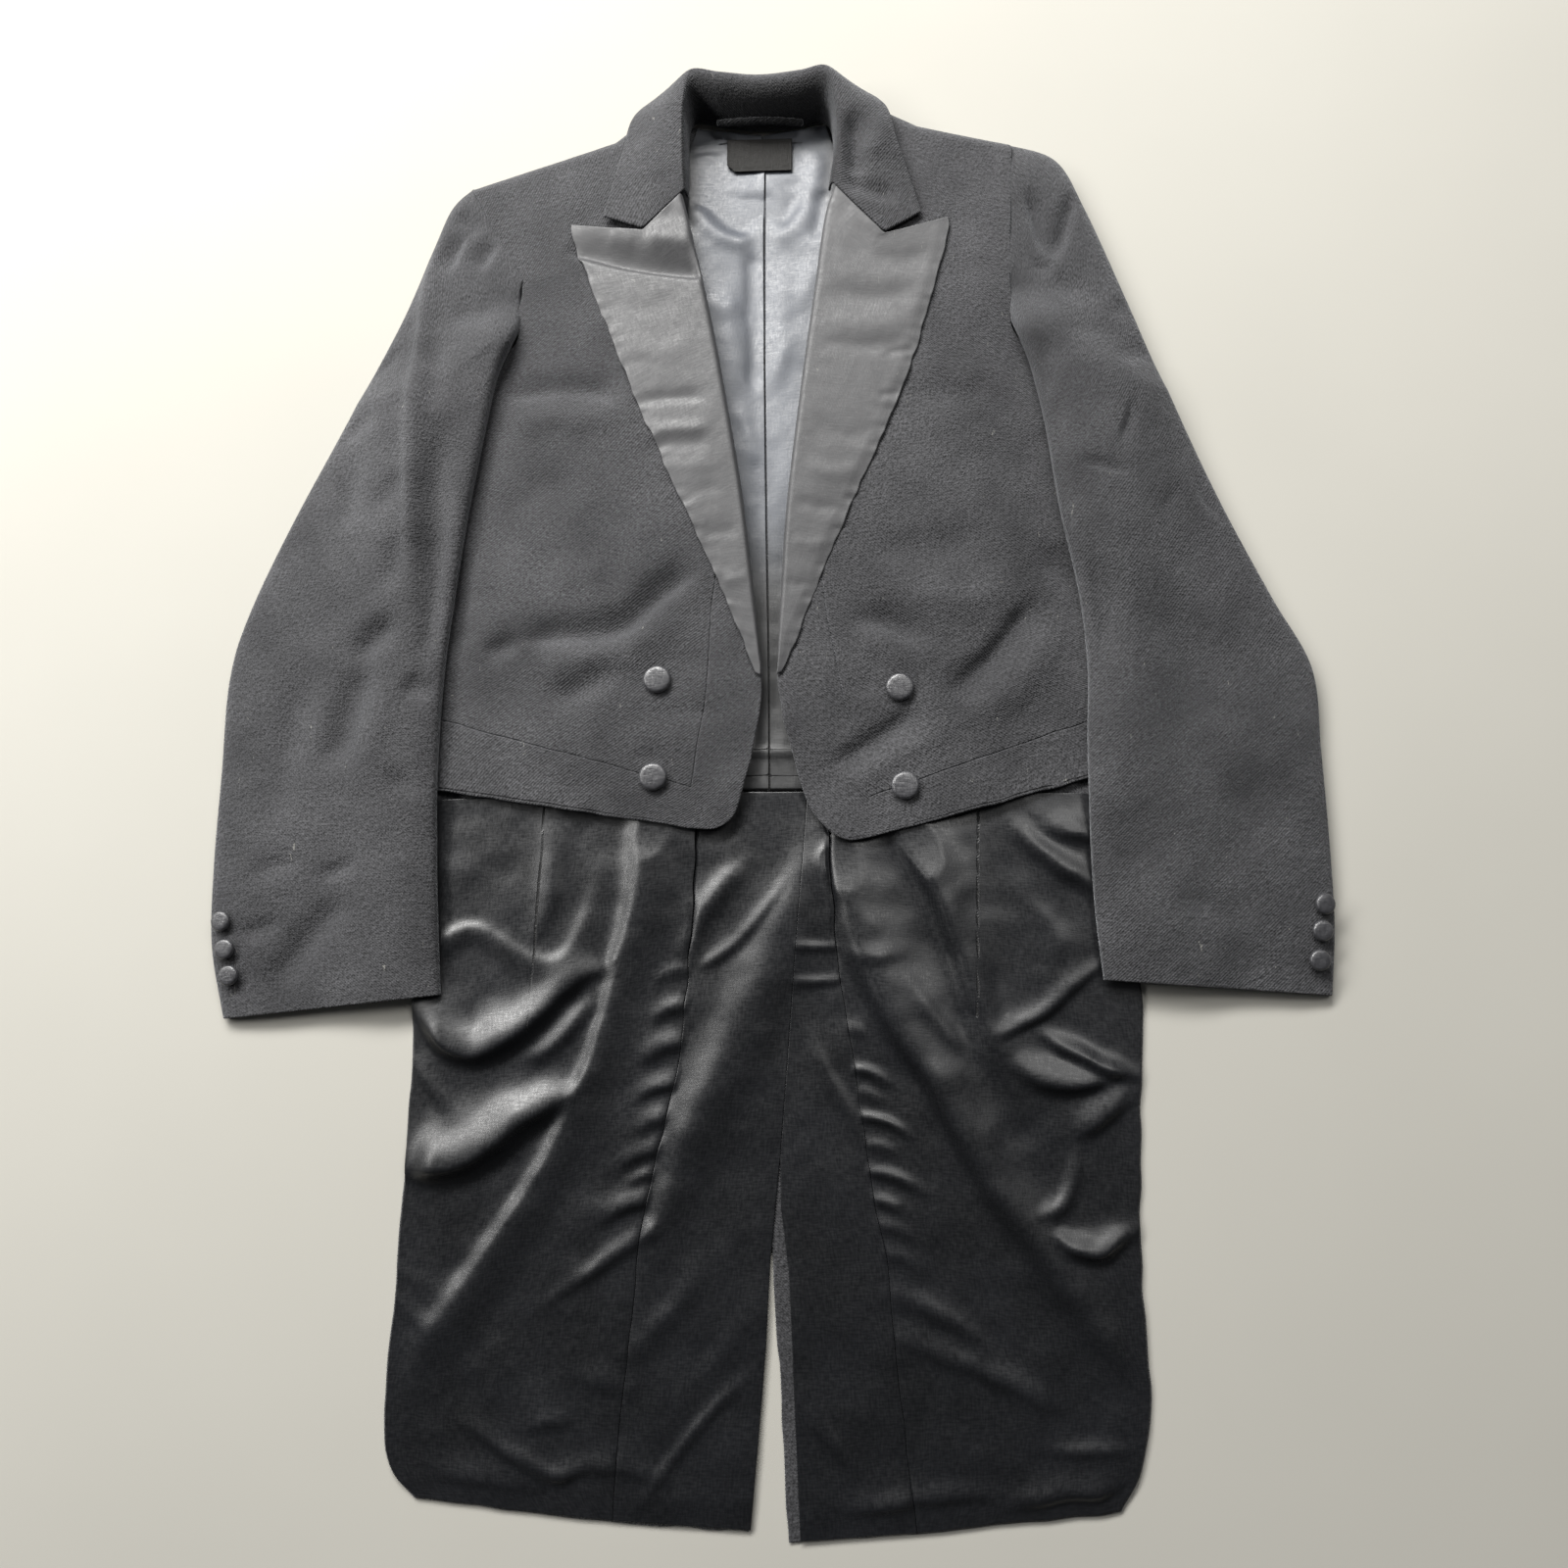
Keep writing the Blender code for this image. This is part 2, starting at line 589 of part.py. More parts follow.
def build_back(side):
    """One half of the back: the back panel to its hem, the side body, the skirt and its lining."""
    rows, plan, h = back_grid(side)
    low = np.dstack([plan, h])
    top = low + np.array([0, 0, WOOL])
    waist = int(np.searchsorted(rows, WAIST_ROW))
    wool_waist = int(np.searchsorted(rows, WOOL_WAIST_ROW))
    armhole = int(np.searchsorted(rows, ARMHOLE_ROW))
    shape = (len(rows) - 1, plan.shape[1] - 1)
    skirt = np.zeros(shape, bool)
    skirt[:wool_waist, 1:] = True
    side_body = np.zeros(shape, bool)
    side_body[wool_waist:armhole, 1:] = True
    lining = np.zeros(shape, bool)
    lining[:waist, 1:] = True
    coarse = [1, 4, 6, plan.shape[1] - 1]
    cloth_wall(f"back_{side}", top, low, BLACK_WOOL, ~(skirt | side_body))
    cloth_wall(f"skirt_{side}", top, low, BLACK_WOOL, skirt)
    body = np.ix_(range(wool_waist, armhole + 1), coarse)
    cloth_wall(f"side_body_{side}", top[body], low[body], BLACK_WOOL)
    lift = np.array([0, 0, WOOL + SEAM_GAP])
    cloth_wall(f"tail_lining_side_{side}", low + lift + np.array([0, 0, LINING]), low + lift,
               TAIL_SATIN, lining)


def flat_lining(name, left, right, spec):
    """A flat panel of lining on the back cloth, between two edge curves in plan."""
    middle = 0.5 * (left + right)
    plan = np.stack([left, middle, right], 1)
    low = np.dstack([plan, np.full(plan.shape[:2], WOOL + SEAM_GAP)])
    cloth_wall(name, low + np.array([0, 0, LINING]), low, spec)


def build_linings():
    """The lining that shows: down the open front, and the middle of each tail."""
    for side, table in TAIL_CENTRE_SEAM.items():
        rows, plan, _ = back_grid(side)
        plan = plan[:int(np.searchsorted(rows, WAIST_ROW)) + 1]
        knots = np.array(table)
        y = plan[:, 0, 1].copy()
        y[0] += HEM_MARGIN[side]
        seam = np.stack([np.interp(y, knots[:, 0], knots[:, 1]), y], -1)
        flat_lining(f"tail_lining_centre_{side}", seam, plan[:, 1], TAIL_SATIN)
    col = columns(BODY_LINING, row_stations(len(BODY_LINING), []))
    seam = np.stack([col["seam_x"], col["y"]], -1)
    for side in ("left", "right"):
        edge = np.stack([col[f"side_{side}"], col["side_y"]], -1)
        flat_lining(f"body_lining_{side}", edge, seam, GREY_SATIN)


def sleeve_rest(x, y, over):
    """What a sleeve rests on: the body's side, the tail below it, and else the floor."""
    front = smoothstep((y - TAIL_REST_END) / TAIL_REST_FADE)
    body = front * body_height(x, y) + (1 - front) * TAIL_REST
    below_armpit = smoothstep((ARMPIT_Y - y) / ARMPIT_FADE)
    return below_armpit * smoothstep((over + REST_REACH) / REST_FADE) * (body + SLEEVE_CLEARANCE)


def side_of_body(side, y):
    """Distance of the body's side from the middle at height y along the coat."""
    table = FRONTS[side]
    ys = [row.side_y for row in table]
    xs = [abs(row.side_x) for row in table]
    tail_y = [row.side_y for row in BACKS[side][:WAIST_ROW + 1]]
    tail_x = [abs(row.side_x) for row in BACKS[side][:WAIST_ROW + 1]]
    return np.interp(y, tail_y + ys[1:], tail_x + xs[1:])


def sleeve_point(plan_in, plan_out, depth, t, upper, side):
    """Points of a sleeve at fractions t of its width, on its upper or its lower face."""
    plan = plan_in + (plan_out - plan_in) * t[:, None]
    x, y = plan[:, 0], plan[:, 1]
    over = side_of_body(side, y) - np.abs(x)
    edge = np.abs(2 * t - 1) ** SLEEVE_SQUARENESS
    round_off = np.clip(1 - edge, 0, 1) ** (1 / SLEEVE_SQUARENESS)
    rest = sleeve_rest(x, y, over)
    bridge = sleeve_rest(x, y, np.minimum(over, 0) * 20 / 70)
    middle = np.maximum(rest, bridge * smoothstep((over + 90) / 88)) + SLEEVE_MIDDLE * depth
    if upper:
        z = middle + (1 - SLEEVE_MIDDLE) * depth * round_off
    else:
        z = rest + (middle - rest) * (1 - np.minimum(1, 1.12 * round_off))
    return np.column_stack([plan, z])


def sleeve_grid(side):
    """Rings of one sleeve, each from its inner seam over the top to its outer seam and back below."""
    table = SLEEVES[side]
    rows = row_stations(len(table), [0.5, 1.5, 2.5])
    col = columns(table, rows)
    rings = []
    for k in range(len(rows)):
        plan_in = np.array([col["in_x"][k], col["in_y"][k]])
        plan_out = np.array([col["out_x"][k], col["out_y"][k]])
        width = np.linalg.norm(plan_out - plan_in)
        trial = np.linspace(0, 1, 201)
        path = plan_in + (plan_out - plan_in) * trial[:, None]
        above_body = (side_of_body(side, path[:, 1]) > np.abs(path[:, 0])) & (path[:, 1] < 310)
        over = trial[above_body].max(initial=0.0) * width
        step_in = max(0.10, (over + 8) / width)
        step_out = min(0.85, max(step_in + 0.12, (over + 32) / width))
        depth = col["depth"][k]
        upper = np.array([0.0, 0.02, 0.08, 0.25, 0.5, 0.75, 0.92, 0.98, 1.0])
        lower = np.array([0.95, 0.5 * (0.95 + step_out), step_out, step_in, 0.05])
        rings.append(np.concatenate([
            sleeve_point(plan_in, plan_out, depth, upper, True, side),
            sleeve_point(plan_in, plan_out, depth, lower, False, side),
        ]))
    return np.stack(rings)


def ring_normals(grid):
    """Outward normals of closed rings."""
    across = np.roll(grid, -1, 1) - np.roll(grid, 1, 1)
    down = np.gradient(grid, axis=0)
    n = np.cross(across, down)
    n /= np.maximum(np.linalg.norm(n, axis=-1, keepdims=True), 1e-9)
    return n if n[:, 4, 2].mean() > 0 else -n


def build_sleeve(side):
    """The top sleeve and the under sleeve, seamed close to the two edges of the flattened tube."""
    ring = sleeve_grid(side)
    inner = ring - SLEEVE_WALL * ring_normals(ring)
    last = ring.shape[1] - 1
    over = [last] + list(range(SLEEVE_SEAM_STATION + 1))
    under = list(range(SLEEVE_SEAM_STATION, last + 1))
    cloth_wall(f"sleeve_top_{side}", ring[:, over], inner[:, over], BLACK_WOOL)
    cloth_wall(f"sleeve_under_{side}", ring[:, under], inner[:, under], BLACK_WOOL)
    return ring


def build_button(name, centre, normal, diameter):
    """A covered button: a flat-backed disc with a rounded rim and a slightly domed face."""
    profile = [(0.80, 0.0), (1.0, 0.32), (0.98, 0.62), (0.82, 0.90), (0.45, 1.0)]
    sides = 16
    z_axis = np.asarray(normal, float)
    z_axis = z_axis / np.linalg.norm(z_axis)
    x_axis = np.cross([0.0, 1.0, 0.0], z_axis)
    x_axis /= np.linalg.norm(x_axis)
    y_axis = np.cross(z_axis, x_axis)
    points = []
    for r, h in profile:
        for k in range(sides):
            a = 2 * math.pi * k / sides
            flat = 0.5 * diameter * r * (math.cos(a) * x_axis + math.sin(a) * y_axis)
            points.append(centre + flat + z_axis * (h * BUTTON_DEPTH))
    faces = [tuple(range(sides - 1, -1, -1))]
    for i in range(len(profile) - 1):
        for k in range(sides):
            a, b = i * sides + k, i * sides + (k + 1) % sides
            faces.append((a, b, b + sides, a + sides))
    last = (len(profile) - 1) * sides
    faces.append(tuple(range(last, last + sides)))
    return add_object(name, points, faces, BUTTON_SILK)


ButtonPlace = namedtuple("ButtonPlace", "x y")
FRONT_BUTTONS = {
    "front_button_left_upper": ButtonPlace(-75.8, 44.8),
    "front_button_left_lower": ButtonPlace(-77.9, -26.1),
    "front_button_right_upper": ButtonPlace(99.1, 37.6),
    "front_button_right_lower": ButtonPlace(101.9, -33.4),
}
CUFF_BUTTONS = {
    "left": [ButtonPlace(-385.5, -129.6), ButtonPlace(-381.0, -147.5), ButtonPlace(-376.0, -166.4)],
    "right": [ButtonPlace(388.0, -116.7), ButtonPlace(385.5, -135.8), ButtonPlace(381.0, -154.2)],
}
FRONT_BUTTON_LIFT = 0.45
CUFF_BUTTON_LIFT = 0.8


def seat_on(ring, place):
    """The point of a sleeve's upper face nearest to a place in plan, and its normal."""
    a = np.linspace(0, 1, 15)[:, None, None]
    b = np.linspace(0, 1, 9)[None, :, None]
    both = np.concatenate([ring, ring_normals(ring)], -1)
    best_off, best = math.inf, None
    for i in range(len(ring) - 1):
        for j in range(4, 8):
            cell = (1 - a) * (1 - b) * both[i, j] + a * (1 - b) * both[i + 1, j]
            cell = cell + (1 - a) * b * both[i, j + 1] + a * b * both[i + 1, j + 1]
            off = np.hypot(cell[..., 0] - place.x, cell[..., 1] - place.y)
            if off.min() < best_off:
                best_off = off.min()
                best = cell[np.unravel_index(off.argmin(), off.shape)]
    return best[:3], best[3:] / np.linalg.norm(best[3:])


def build_buttons(rings):
    """Four buttons on the fronts and three on each cuff."""
    for name, place in FRONT_BUTTONS.items():
        z = float(body_height(place.x, place.y)) + FRONT_BUTTON_LIFT
        build_button(name, np.array([place.x, place.y, z]), (0, 0, 1), FRONT_BUTTON)
    for side, places in CUFF_BUTTONS.items():
        for k, place in enumerate(places):
            seat, normal = seat_on(rings[side], place)
            seat = seat + normal * CUFF_BUTTON_LIFT
            build_button(f"cuff_button_{side}_{k + 1}", seat, normal, CUFF_BUTTON)


def build_label():
    """The bare neck label, with one lower corner cut off."""
    w, h = LABEL_SIZE
    cx, cy = LABEL_PLACE
    outline = [
        (-w / 2 + LABEL_CORNER, -h / 2),
        (w / 2, -h / 2),
        (w / 2, h / 2),
        (-w / 2, h / 2),
        (-w / 2, -h / 2 + LABEL_CORNER),
    ]
    low = WOOL + SEAM_GAP + LINING + SEAM_GAP
    n = len(outline)
    points = [(cx + x, cy + y, low) for x, y in outline]
    points += [(cx + x, cy + y, low + LABEL_WALL) for x, y in outline]
    faces = [tuple(range(n - 1, -1, -1)), tuple(range(n, 2 * n))]
    for k in range(n):
        faces.append((k, (k + 1) % n, n + (k + 1) % n, n + k))
    add_object("neck_label", points, faces, LABEL_CLOTH)


LoopPoint = namedtuple("LoopPoint", "x y z")
HANGER_LOOP = [
    LoopPoint(-36, 483.4, 5.8),
    LoopPoint(-33, 485, 8.5),
    LoopPoint(-18, 486.2, 11.5),
    LoopPoint(-3, 486, 12),
    LoopPoint(13, 486, 11.5),
    LoopPoint(27, 485, 8.5),
    LoopPoint(30, 483.4, 5.8),
]
HANGER_LOOP_HEIGHT = 5.0
HANGER_LOOP_THICKNESS = 1.6


def build_hanger_loop():
    """A rolled strip across the back of the neck, sewn down at its two ends."""
    line = along(HANGER_LOOP, np.arange(0, len(HANGER_LOOP) - 0.5, 0.5))
    up = np.array([0, 0.25, 1.0]) / math.hypot(0.25, 1.0) * HANGER_LOOP_HEIGHT / 2
    face = np.stack([line - up, line + up], 1)
    back = face + np.array([0, HANGER_LOOP_THICKNESS, 0])
    cloth_wall("hanger_loop", face, back, BLACK_WOOL, gap=0.0)


def main():
    """Build every piece of the coat."""
    for obj in list(bpy.data.objects):
        bpy.data.objects.remove(obj, do_unlink=True)
    rings = {}
    for side in ("left", "right"):
        build_back(side)
        build_front(side)
        build_lapel(side)
        rings[side] = build_sleeve(side)
    build_linings()
    build_collar()
    build_buttons(rings)
    build_label()
    build_hanger_loop()


main()
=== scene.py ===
"""White tie tailcoat laid flat on its back: the looks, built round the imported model.

Every panel of the coat is a thin closed shell on the form of its own solid. The forms come from the same
short tables of sections (mm), read along smooth curves on fine grids, with the cloth's creases laid on as
soft ridges and troughs. +Y is towards the neck, +X to the coat's left front, +Z up from the surface.
"""
import logging
import math
from dataclasses import dataclass, field
from enum import Enum
from typing import NamedTuple, Optional, Sequence, Union

import bpy
import numpy as np
from mathutils import Matrix, Vector


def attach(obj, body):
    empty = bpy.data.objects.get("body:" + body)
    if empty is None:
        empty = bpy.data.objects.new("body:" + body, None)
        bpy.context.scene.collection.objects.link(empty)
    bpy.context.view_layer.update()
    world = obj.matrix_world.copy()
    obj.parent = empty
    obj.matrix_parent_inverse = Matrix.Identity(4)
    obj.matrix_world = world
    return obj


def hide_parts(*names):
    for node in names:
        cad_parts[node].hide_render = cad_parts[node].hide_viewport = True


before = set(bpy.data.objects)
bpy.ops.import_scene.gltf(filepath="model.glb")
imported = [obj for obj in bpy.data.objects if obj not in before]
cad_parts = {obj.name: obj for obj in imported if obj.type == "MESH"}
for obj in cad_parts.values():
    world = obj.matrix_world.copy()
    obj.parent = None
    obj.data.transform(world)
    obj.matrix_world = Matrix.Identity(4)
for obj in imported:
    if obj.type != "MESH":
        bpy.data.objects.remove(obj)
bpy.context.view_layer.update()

log = logging.getLogger("tailcoat")

MM = 0.001
Grid = np.ndarray
Socket = bpy.types.NodeSocket


class Side(Enum):
    """The viewer's left or right of the coat."""

    LEFT = "left"
    RIGHT = "right"

    @property
    def sign(self) -> int:
        """-1 on the left and +1 on the right."""
        return -1 if self is Side.LEFT else 1


class Slot(Enum):
    """The record's material slots."""

    WOOL = "coat_wool"
    LAPEL = "lapel_satin"
    LINING = "body_lining"
    TAIL = "tail_lining"
    LABEL = "label_cloth"
    BUTTON = "button_silk"


# ---- Sections of the coat, mm


class FrontRow(NamedTuple):
    """One section of a front, from its edge by its dart to its side fold."""

    edge_x: float
    edge_y: float
    dart_x: float
    dart_y: float
    side_x: float
    side_y: float
    wrap: float


class LapelRow(NamedTuple):
    """One section of a lapel, from its roll line to its outer edge."""

    roll_x: float
    roll_y: float
    mid_x: float
    mid_y: float
    edge_x: float
    edge_y: float


class CollarRow(NamedTuple):
    """One section of the collar, from the neck seam over the roll to the leaf's edge."""

    in_x: float
    in_y: float
    in_z: float
    roll_x: float
    roll_y: float
    roll_z: float
    mid_x: float
    mid_y: float
    leaf_x: float
    leaf_y: float
    leaf_z: float


class BackRow(NamedTuple):
    """One section of half the back, from its centre by its seam to its side."""

    centre_x: float
    centre_y: float
    seam_x: float
    seam_y: float
    side_x: float
    side_y: float


class LiningRow(NamedTuple):
    """One section of the body lining, from its centre seam to both its sides."""

    seam_x: float
    side_left: float
    side_right: float
    y: float
    side_y: float


class SleeveRow(NamedTuple):
    """One ring of a sleeve, from its inner to its outer edge, and its depth."""

    in_x: float
    in_y: float
    out_x: float
    out_y: float
    depth: float


FRONTS = {
    Side.LEFT: [
        FrontRow(-24, -64.5, -53, -62.5, -243, -33, 1.0),
        FrontRow(-12.5, -33, -50.6, -33.4, -243, 20, 1.0),
        FrontRow(0.2, 40, -40.4, 38, -246, 85, 1.0),
        FrontRow(-4.9, 100, -36.5, 102, -250, 140, 1.0),
        FrontRow(-12, 160, -31, 160, -252, 195, 1.0),
        FrontRow(-22.5, 235, -48, 232, -251, 240, 1.0),
        FrontRow(-31.3, 285, -60, 281, -247, 264, 1.0),
        FrontRow(-36, 310, -66, 308, -191.8, 304, 0.0),
        FrontRow(-43, 345, -74, 343, -187.2, 331, 0.0),
        FrontRow(-53.2, 390, -84, 387, -184.7, 356.5, 0.0),
        FrontRow(-62, 428, -92, 424, -202.5, 391, 0.0),
        FrontRow(-66, 470, -102, 456, -218.7, 422, 0.0),
        FrontRow(-80, 506, -118, 478, -228.6, 441, 0.0),
    ],
    Side.RIGHT: [
        FrontRow(55, -74.5, 79, -70, 245, -25, 1.0),
        FrontRow(31, -40, 76.4, -41.2, 246, 18, 1.0),
        FrontRow(11, 40, 57, 40, 248, 80, 1.0),
        FrontRow(12.8, 100, 46, 100, 251, 135, 1.0),
        FrontRow(16.6, 160, 40, 160, 252, 190, 1.0),
        FrontRow(24.6, 235, 54, 232, 250, 238, 1.0),
        FrontRow(31, 285, 63, 281, 246, 262, 1.0),
        FrontRow(34, 310, 68, 308, 191.8, 305, 0.0),
        FrontRow(39, 345, 74, 343, 187.2, 333, 0.0),
        FrontRow(47, 390, 82, 387, 186.2, 361, 0.0),
        FrontRow(55, 428, 92, 424, 187.6, 396, 0.0),
        FrontRow(60, 470, 100, 462, 189.1, 432, 0.0),
        FrontRow(76, 508, 122, 485, 190.5, 468, 0.0),
    ],
}
STRAP_SEAM_ROW = 1
LAPEL_START_ROW = 2
DART_TOP_ROW = 4

LAPELS = {
    Side.LEFT: [
        LapelRow(-0.2, 48, -2.2, 48.5, -5, 49.5),
        LapelRow(-4.5, 96, -13, 98, -25.2, 101),
        LapelRow(-14.6, 185, -30, 181, -56, 171.4),
        LapelRow(-31.3, 285.5, -56, 276, -94, 257),
        LapelRow(-43, 345, -72, 340, -122, 329),
        LapelRow(-55, 398, -86, 377, -144, 385),
        LapelRow(-61, 423.2, -91, 393.2, -147.8, 401),
    ],
    Side.RIGHT: [
        LapelRow(11, 48, 12.8, 48.3, 15, 49),
        LapelRow(13, 96, 20, 94, 32.5, 93.5),
        LapelRow(17.7, 175.5, 34, 171, 62.5, 168),
        LapelRow(29, 272, 56, 266, 103.5, 262),
        LapelRow(39, 345, 70, 340, 126.5, 333),
        LapelRow(46.5, 400, 83, 377, 139.5, 386),
        LapelRow(54, 426.2, 92, 385.2, 141.6, 400),
    ],
}

COLLAR = [
    CollarRow(-57.5, 425, 17, -61, 424.2, 27, -91, 394.2, -122, 405.5, 25.5),
    CollarRow(-57.5, 441, 12, -61.8, 441, 30, -86, 436, -114.5, 436, 25.5),
    CollarRow(-58, 462, 8, -62, 462, 33, -84, 461, -108.5, 459, 25),
    CollarRow(-58, 488, 5, -61, 493, 37, -79, 494, -99, 494, 22),
    CollarRow(-51, 497, 4, -54.5, 517, 38, -61, 522, -68, 526, 6),
    CollarRow(-30, 492.5, 4, -31, 513.5, 38, -33, 523, -35, 532, 1.5),
    CollarRow(-2, 489, 4, -2, 508.5, 38, -2, 521, -2, 533, 1.2),
    CollarRow(25, 490.5, 4, 27, 512.5, 38, 29, 523, 32, 532, 1.5),
    CollarRow(45, 494.5, 4, 48.5, 517, 38, 55, 522, 62, 526, 6),
    CollarRow(52.5, 486, 5, 57.5, 492, 37, 74, 496, 93, 498, 22),
    CollarRow(54, 460, 8, 58.5, 461, 33, 80, 462, 103, 462, 25),
    CollarRow(51.5, 441, 12, 56.5, 441, 30, 84, 433, 111.5, 434, 25.5),
    CollarRow(50, 427.5, 17, 54, 427.2, 27, 92, 386.2, 120.2, 402.5, 25.5),
]

WAIST_Y = -36.0
BACKS = {
    Side.LEFT: [
        BackRow(-7.6, -527, -97.5, -523, -231, -510.5),
        BackRow(-5.2, -500, -96.8, -499, -249.5, -491),
        BackRow(-2, -464, -94, -460, -254, -457),
        BackRow(2.4, -412, -89.3, -412.6, -254, -422),
        BackRow(4.9, -359, -84.5, -359, -251, -378),
        BackRow(5, -315, -77.8, -315, -249.5, -325),
        BackRow(5, -229, -58.8, -229, -247, -237),
        BackRow(5, -153, -51.5, -153, -248.5, -183),
        BackRow(5, -90, -48, -90, -247, -100),
        BackRow(5, WAIST_Y, -47, WAIST_Y, -238.6, -40),
        BackRow(5, -20, -47, -20, -238.6, -20),
        BackRow(4, 100, -62, 100, -241.5, 110),
        BackRow(3, 220, -100, 215, -247.5, 240),
        BackRow(2, 290, -140, 285, -243.5, 262),
        BackRow(2, 330, -172, 322, -188, 303),
        BackRow(1, 360, -176, 340, -186.8, 331),
        BackRow(0, 400, -178, 372, -184.6, 357),
        BackRow(-1, 440, -180, 402, -202.3, 391),
        BackRow(-2, 487, -71, 499, -224.8, 434.5),
    ],
    Side.RIGHT: [
        BackRow(18.1, -533, 103, -526.5, 236, -511.5),
        BackRow(16.5, -500, 98.7, -497, 249.5, -486),
        BackRow(13.6, -446.6, 93.5, -444.6, 257.8, -443),
        BackRow(10.4, -402, 88.9, -401.8, 256.5, -410),
        BackRow(7.6, -359, 84.5, -355, 255.5, -365),
        BackRow(5, -315, 76.5, -315, 256.3, -322),
        BackRow(5, -237, 65.7, -237, 260.5, -245),
        BackRow(5, -165, 54.5, -165, 264, -175),
        BackRow(5, -90, 48.6, -90, 257, -100),
        BackRow(5, WAIST_Y, 47.5, WAIST_Y, 240.2, -38),
        BackRow(5, -20, 47.5, -20, 240.2, -20),
        BackRow(4, 100, 62, 100, 243.5, 110),
        BackRow(3, 220, 98, 215, 246.5, 238),
        BackRow(2, 290, 138, 285, 242.5, 260),
        BackRow(2, 330, 170, 322, 187, 303),
        BackRow(1, 360, 176, 340, 186.8, 333),
        BackRow(0, 400, 178, 375, 186.2, 361),
        BackRow(-1, 440, 176, 410, 187.6, 396),
        BackRow(-2, 487, 67, 500, 189.6, 462.5),
    ],
}
WAIST_ROW = 9
WOOL_WAIST_ROW = 10
ARMHOLE_ROW = 14

# The seam or vent edge down the middle of the tail lining, from the hem to the waist, (y, x)
TAIL_CENTRE_SEAM = {
    Side.LEFT: [(-527, -6.4), (-464, -0.8), (-412, 3.6), (-359, 6.2), (-290, 12.9), (WAIST_Y, 32.4)],
    Side.RIGHT: [(-530, 26.1), (-365, 18.9), (-323, 13.4), (-290, 12.9), (WAIST_Y, 32.4)],
}

BODY_LINING = [
    LiningRow(5.0, -40, 50, WAIST_Y + 0.3, WAIST_Y + 0.3),
    LiningRow(4.0, -38, 46, 60, 60),
    LiningRow(2.0, -45, 50, 170, 170),
    LiningRow(0.8, -60, 64, 290, 290),
    LiningRow(0.0, -76, 78, 400, 400),
    LiningRow(0.7, -64, 60, 455, 459),
    LiningRow(-2.0, -53, 48, 487, 494.5),
]

SLEEVES = {
    Side.LEFT: [
        SleeveRow(-185.3, 356.5, -229.3, 440.8, 19),
        SleeveRow(-188.2, 331, -245, 424, 19),
        SleeveRow(-192.8, 303, -258, 390, 19),
        SleeveRow(-201, 275, -279, 333, 18),
        SleeveRow(-210, 225, -312, 262, 17),
        SleeveRow(-219.5, 166, -354, 174, 16),
        SleeveRow(-228, 95, -385, 98, 15),
        SleeveRow(-232.5, 45, -396, 48, 15),
        SleeveRow(-234.3, -15, -397, -20, 14),
        SleeveRow(-233, -80, -398, -88, 13),
        SleeveRow(-229.5, -135, -395.5, -145, 12),
        SleeveRow(-226, -180, -383.5, -197, 10),
    ],
    Side.RIGHT: [
        SleeveRow(186.8, 361, 191.2, 467.5, 19),
        SleeveRow(188.2, 333, 226, 453, 19),
        SleeveRow(192.8, 304, 246, 413, 19),
        SleeveRow(200, 275, 272, 344, 18),
        SleeveRow(208, 235, 303, 258, 17),
        SleeveRow(217, 170, 338, 171, 16),
        SleeveRow(229, 105, 369, 103, 15),
        SleeveRow(233, 50, 394, 50, 15),
        SleeveRow(231, -5, 396.5, -10, 14),
        SleeveRow(231, -75, 398, -80, 13),
        SleeveRow(232.5, -125, 397.5, -133, 12),
        SleeveRow(236.5, -169.5, 393, -180, 10),
    ],
}

CROWN = [(-75, 10.5), (40, 13.0), (150, 15.5), (260, 18.0), (350, 20.0), (430, 21.0), (520, 20.5)]


class Fold(NamedTuple):
    """A main fold of the tails along a bent line: its ends, the point that bends it, its size."""

    x0: float
    y0: float
    x1: float
    y1: float
    x2: float
    y2: float
    height: float
    width: float


MAIN_FOLDS = [
    Fold(-92, -70, -118, -255, -238, -425, 7.0, 17),
    Fold(-185, -120, -200, -205, -160, -250, 4.0, 16),
    Fold(62, -95, 115, -265, 238, -412, 6.0, 17),
    Fold(130, -85, 190, -200, 235, -320, 4.5, 18),
]


# ---- Curves and fields


def smoothstep(x: Union[Grid, float]) -> Grid:
    """Rise from 0 to 1 with level ends: 3x^2 - 2x^3."""
    x = np.clip(x, 0.0, 1.0)
    return x * x * (3.0 - 2.0 * x)


def along(table: Sequence[tuple], rows: Grid) -> Grid:
    """Cubic Hermite curves through a table's rows, with the mean of both neighbours' steps as slope.

    Args:
        table: rows of numbers.
        rows: fractional row numbers.

    Returns:
        One row of interpolated columns for each row number.
    """
    data = np.array([list(row) for row in table], float)
    rows = np.asarray(rows, float)
    slope = np.gradient(data, axis=0)
    k = np.clip(rows.astype(int), 0, len(data) - 2)
    t = (rows - k)[:, None]
    a, b = data[k], data[k + 1]
    ma, mb = slope[k], slope[k + 1]
    return (
        (2 * t**3 - 3 * t**2 + 1) * a
        + (t**3 - 2 * t**2 + t) * ma
        + (3 * t**2 - 2 * t**3) * b
        + (t**3 - t**2) * mb
    )


def columns(table: Sequence[tuple], rows: Grid) -> dict[str, Grid]:
    """A table's columns by name at fractional row numbers."""
    values = along(table, rows)
    return {name: values[:, i] for i, name in enumerate(table[0]._fields)}


def pair(col: dict[str, Grid], name: str) -> Grid:
    """The plan points of the columns name_x and name_y."""
    return np.stack([col[f"{name}_x"], col[f"{name}_y"]], -1)


EDGE_STEPS = (0.0, 0.35, 0.8, 1.4, 2.2)


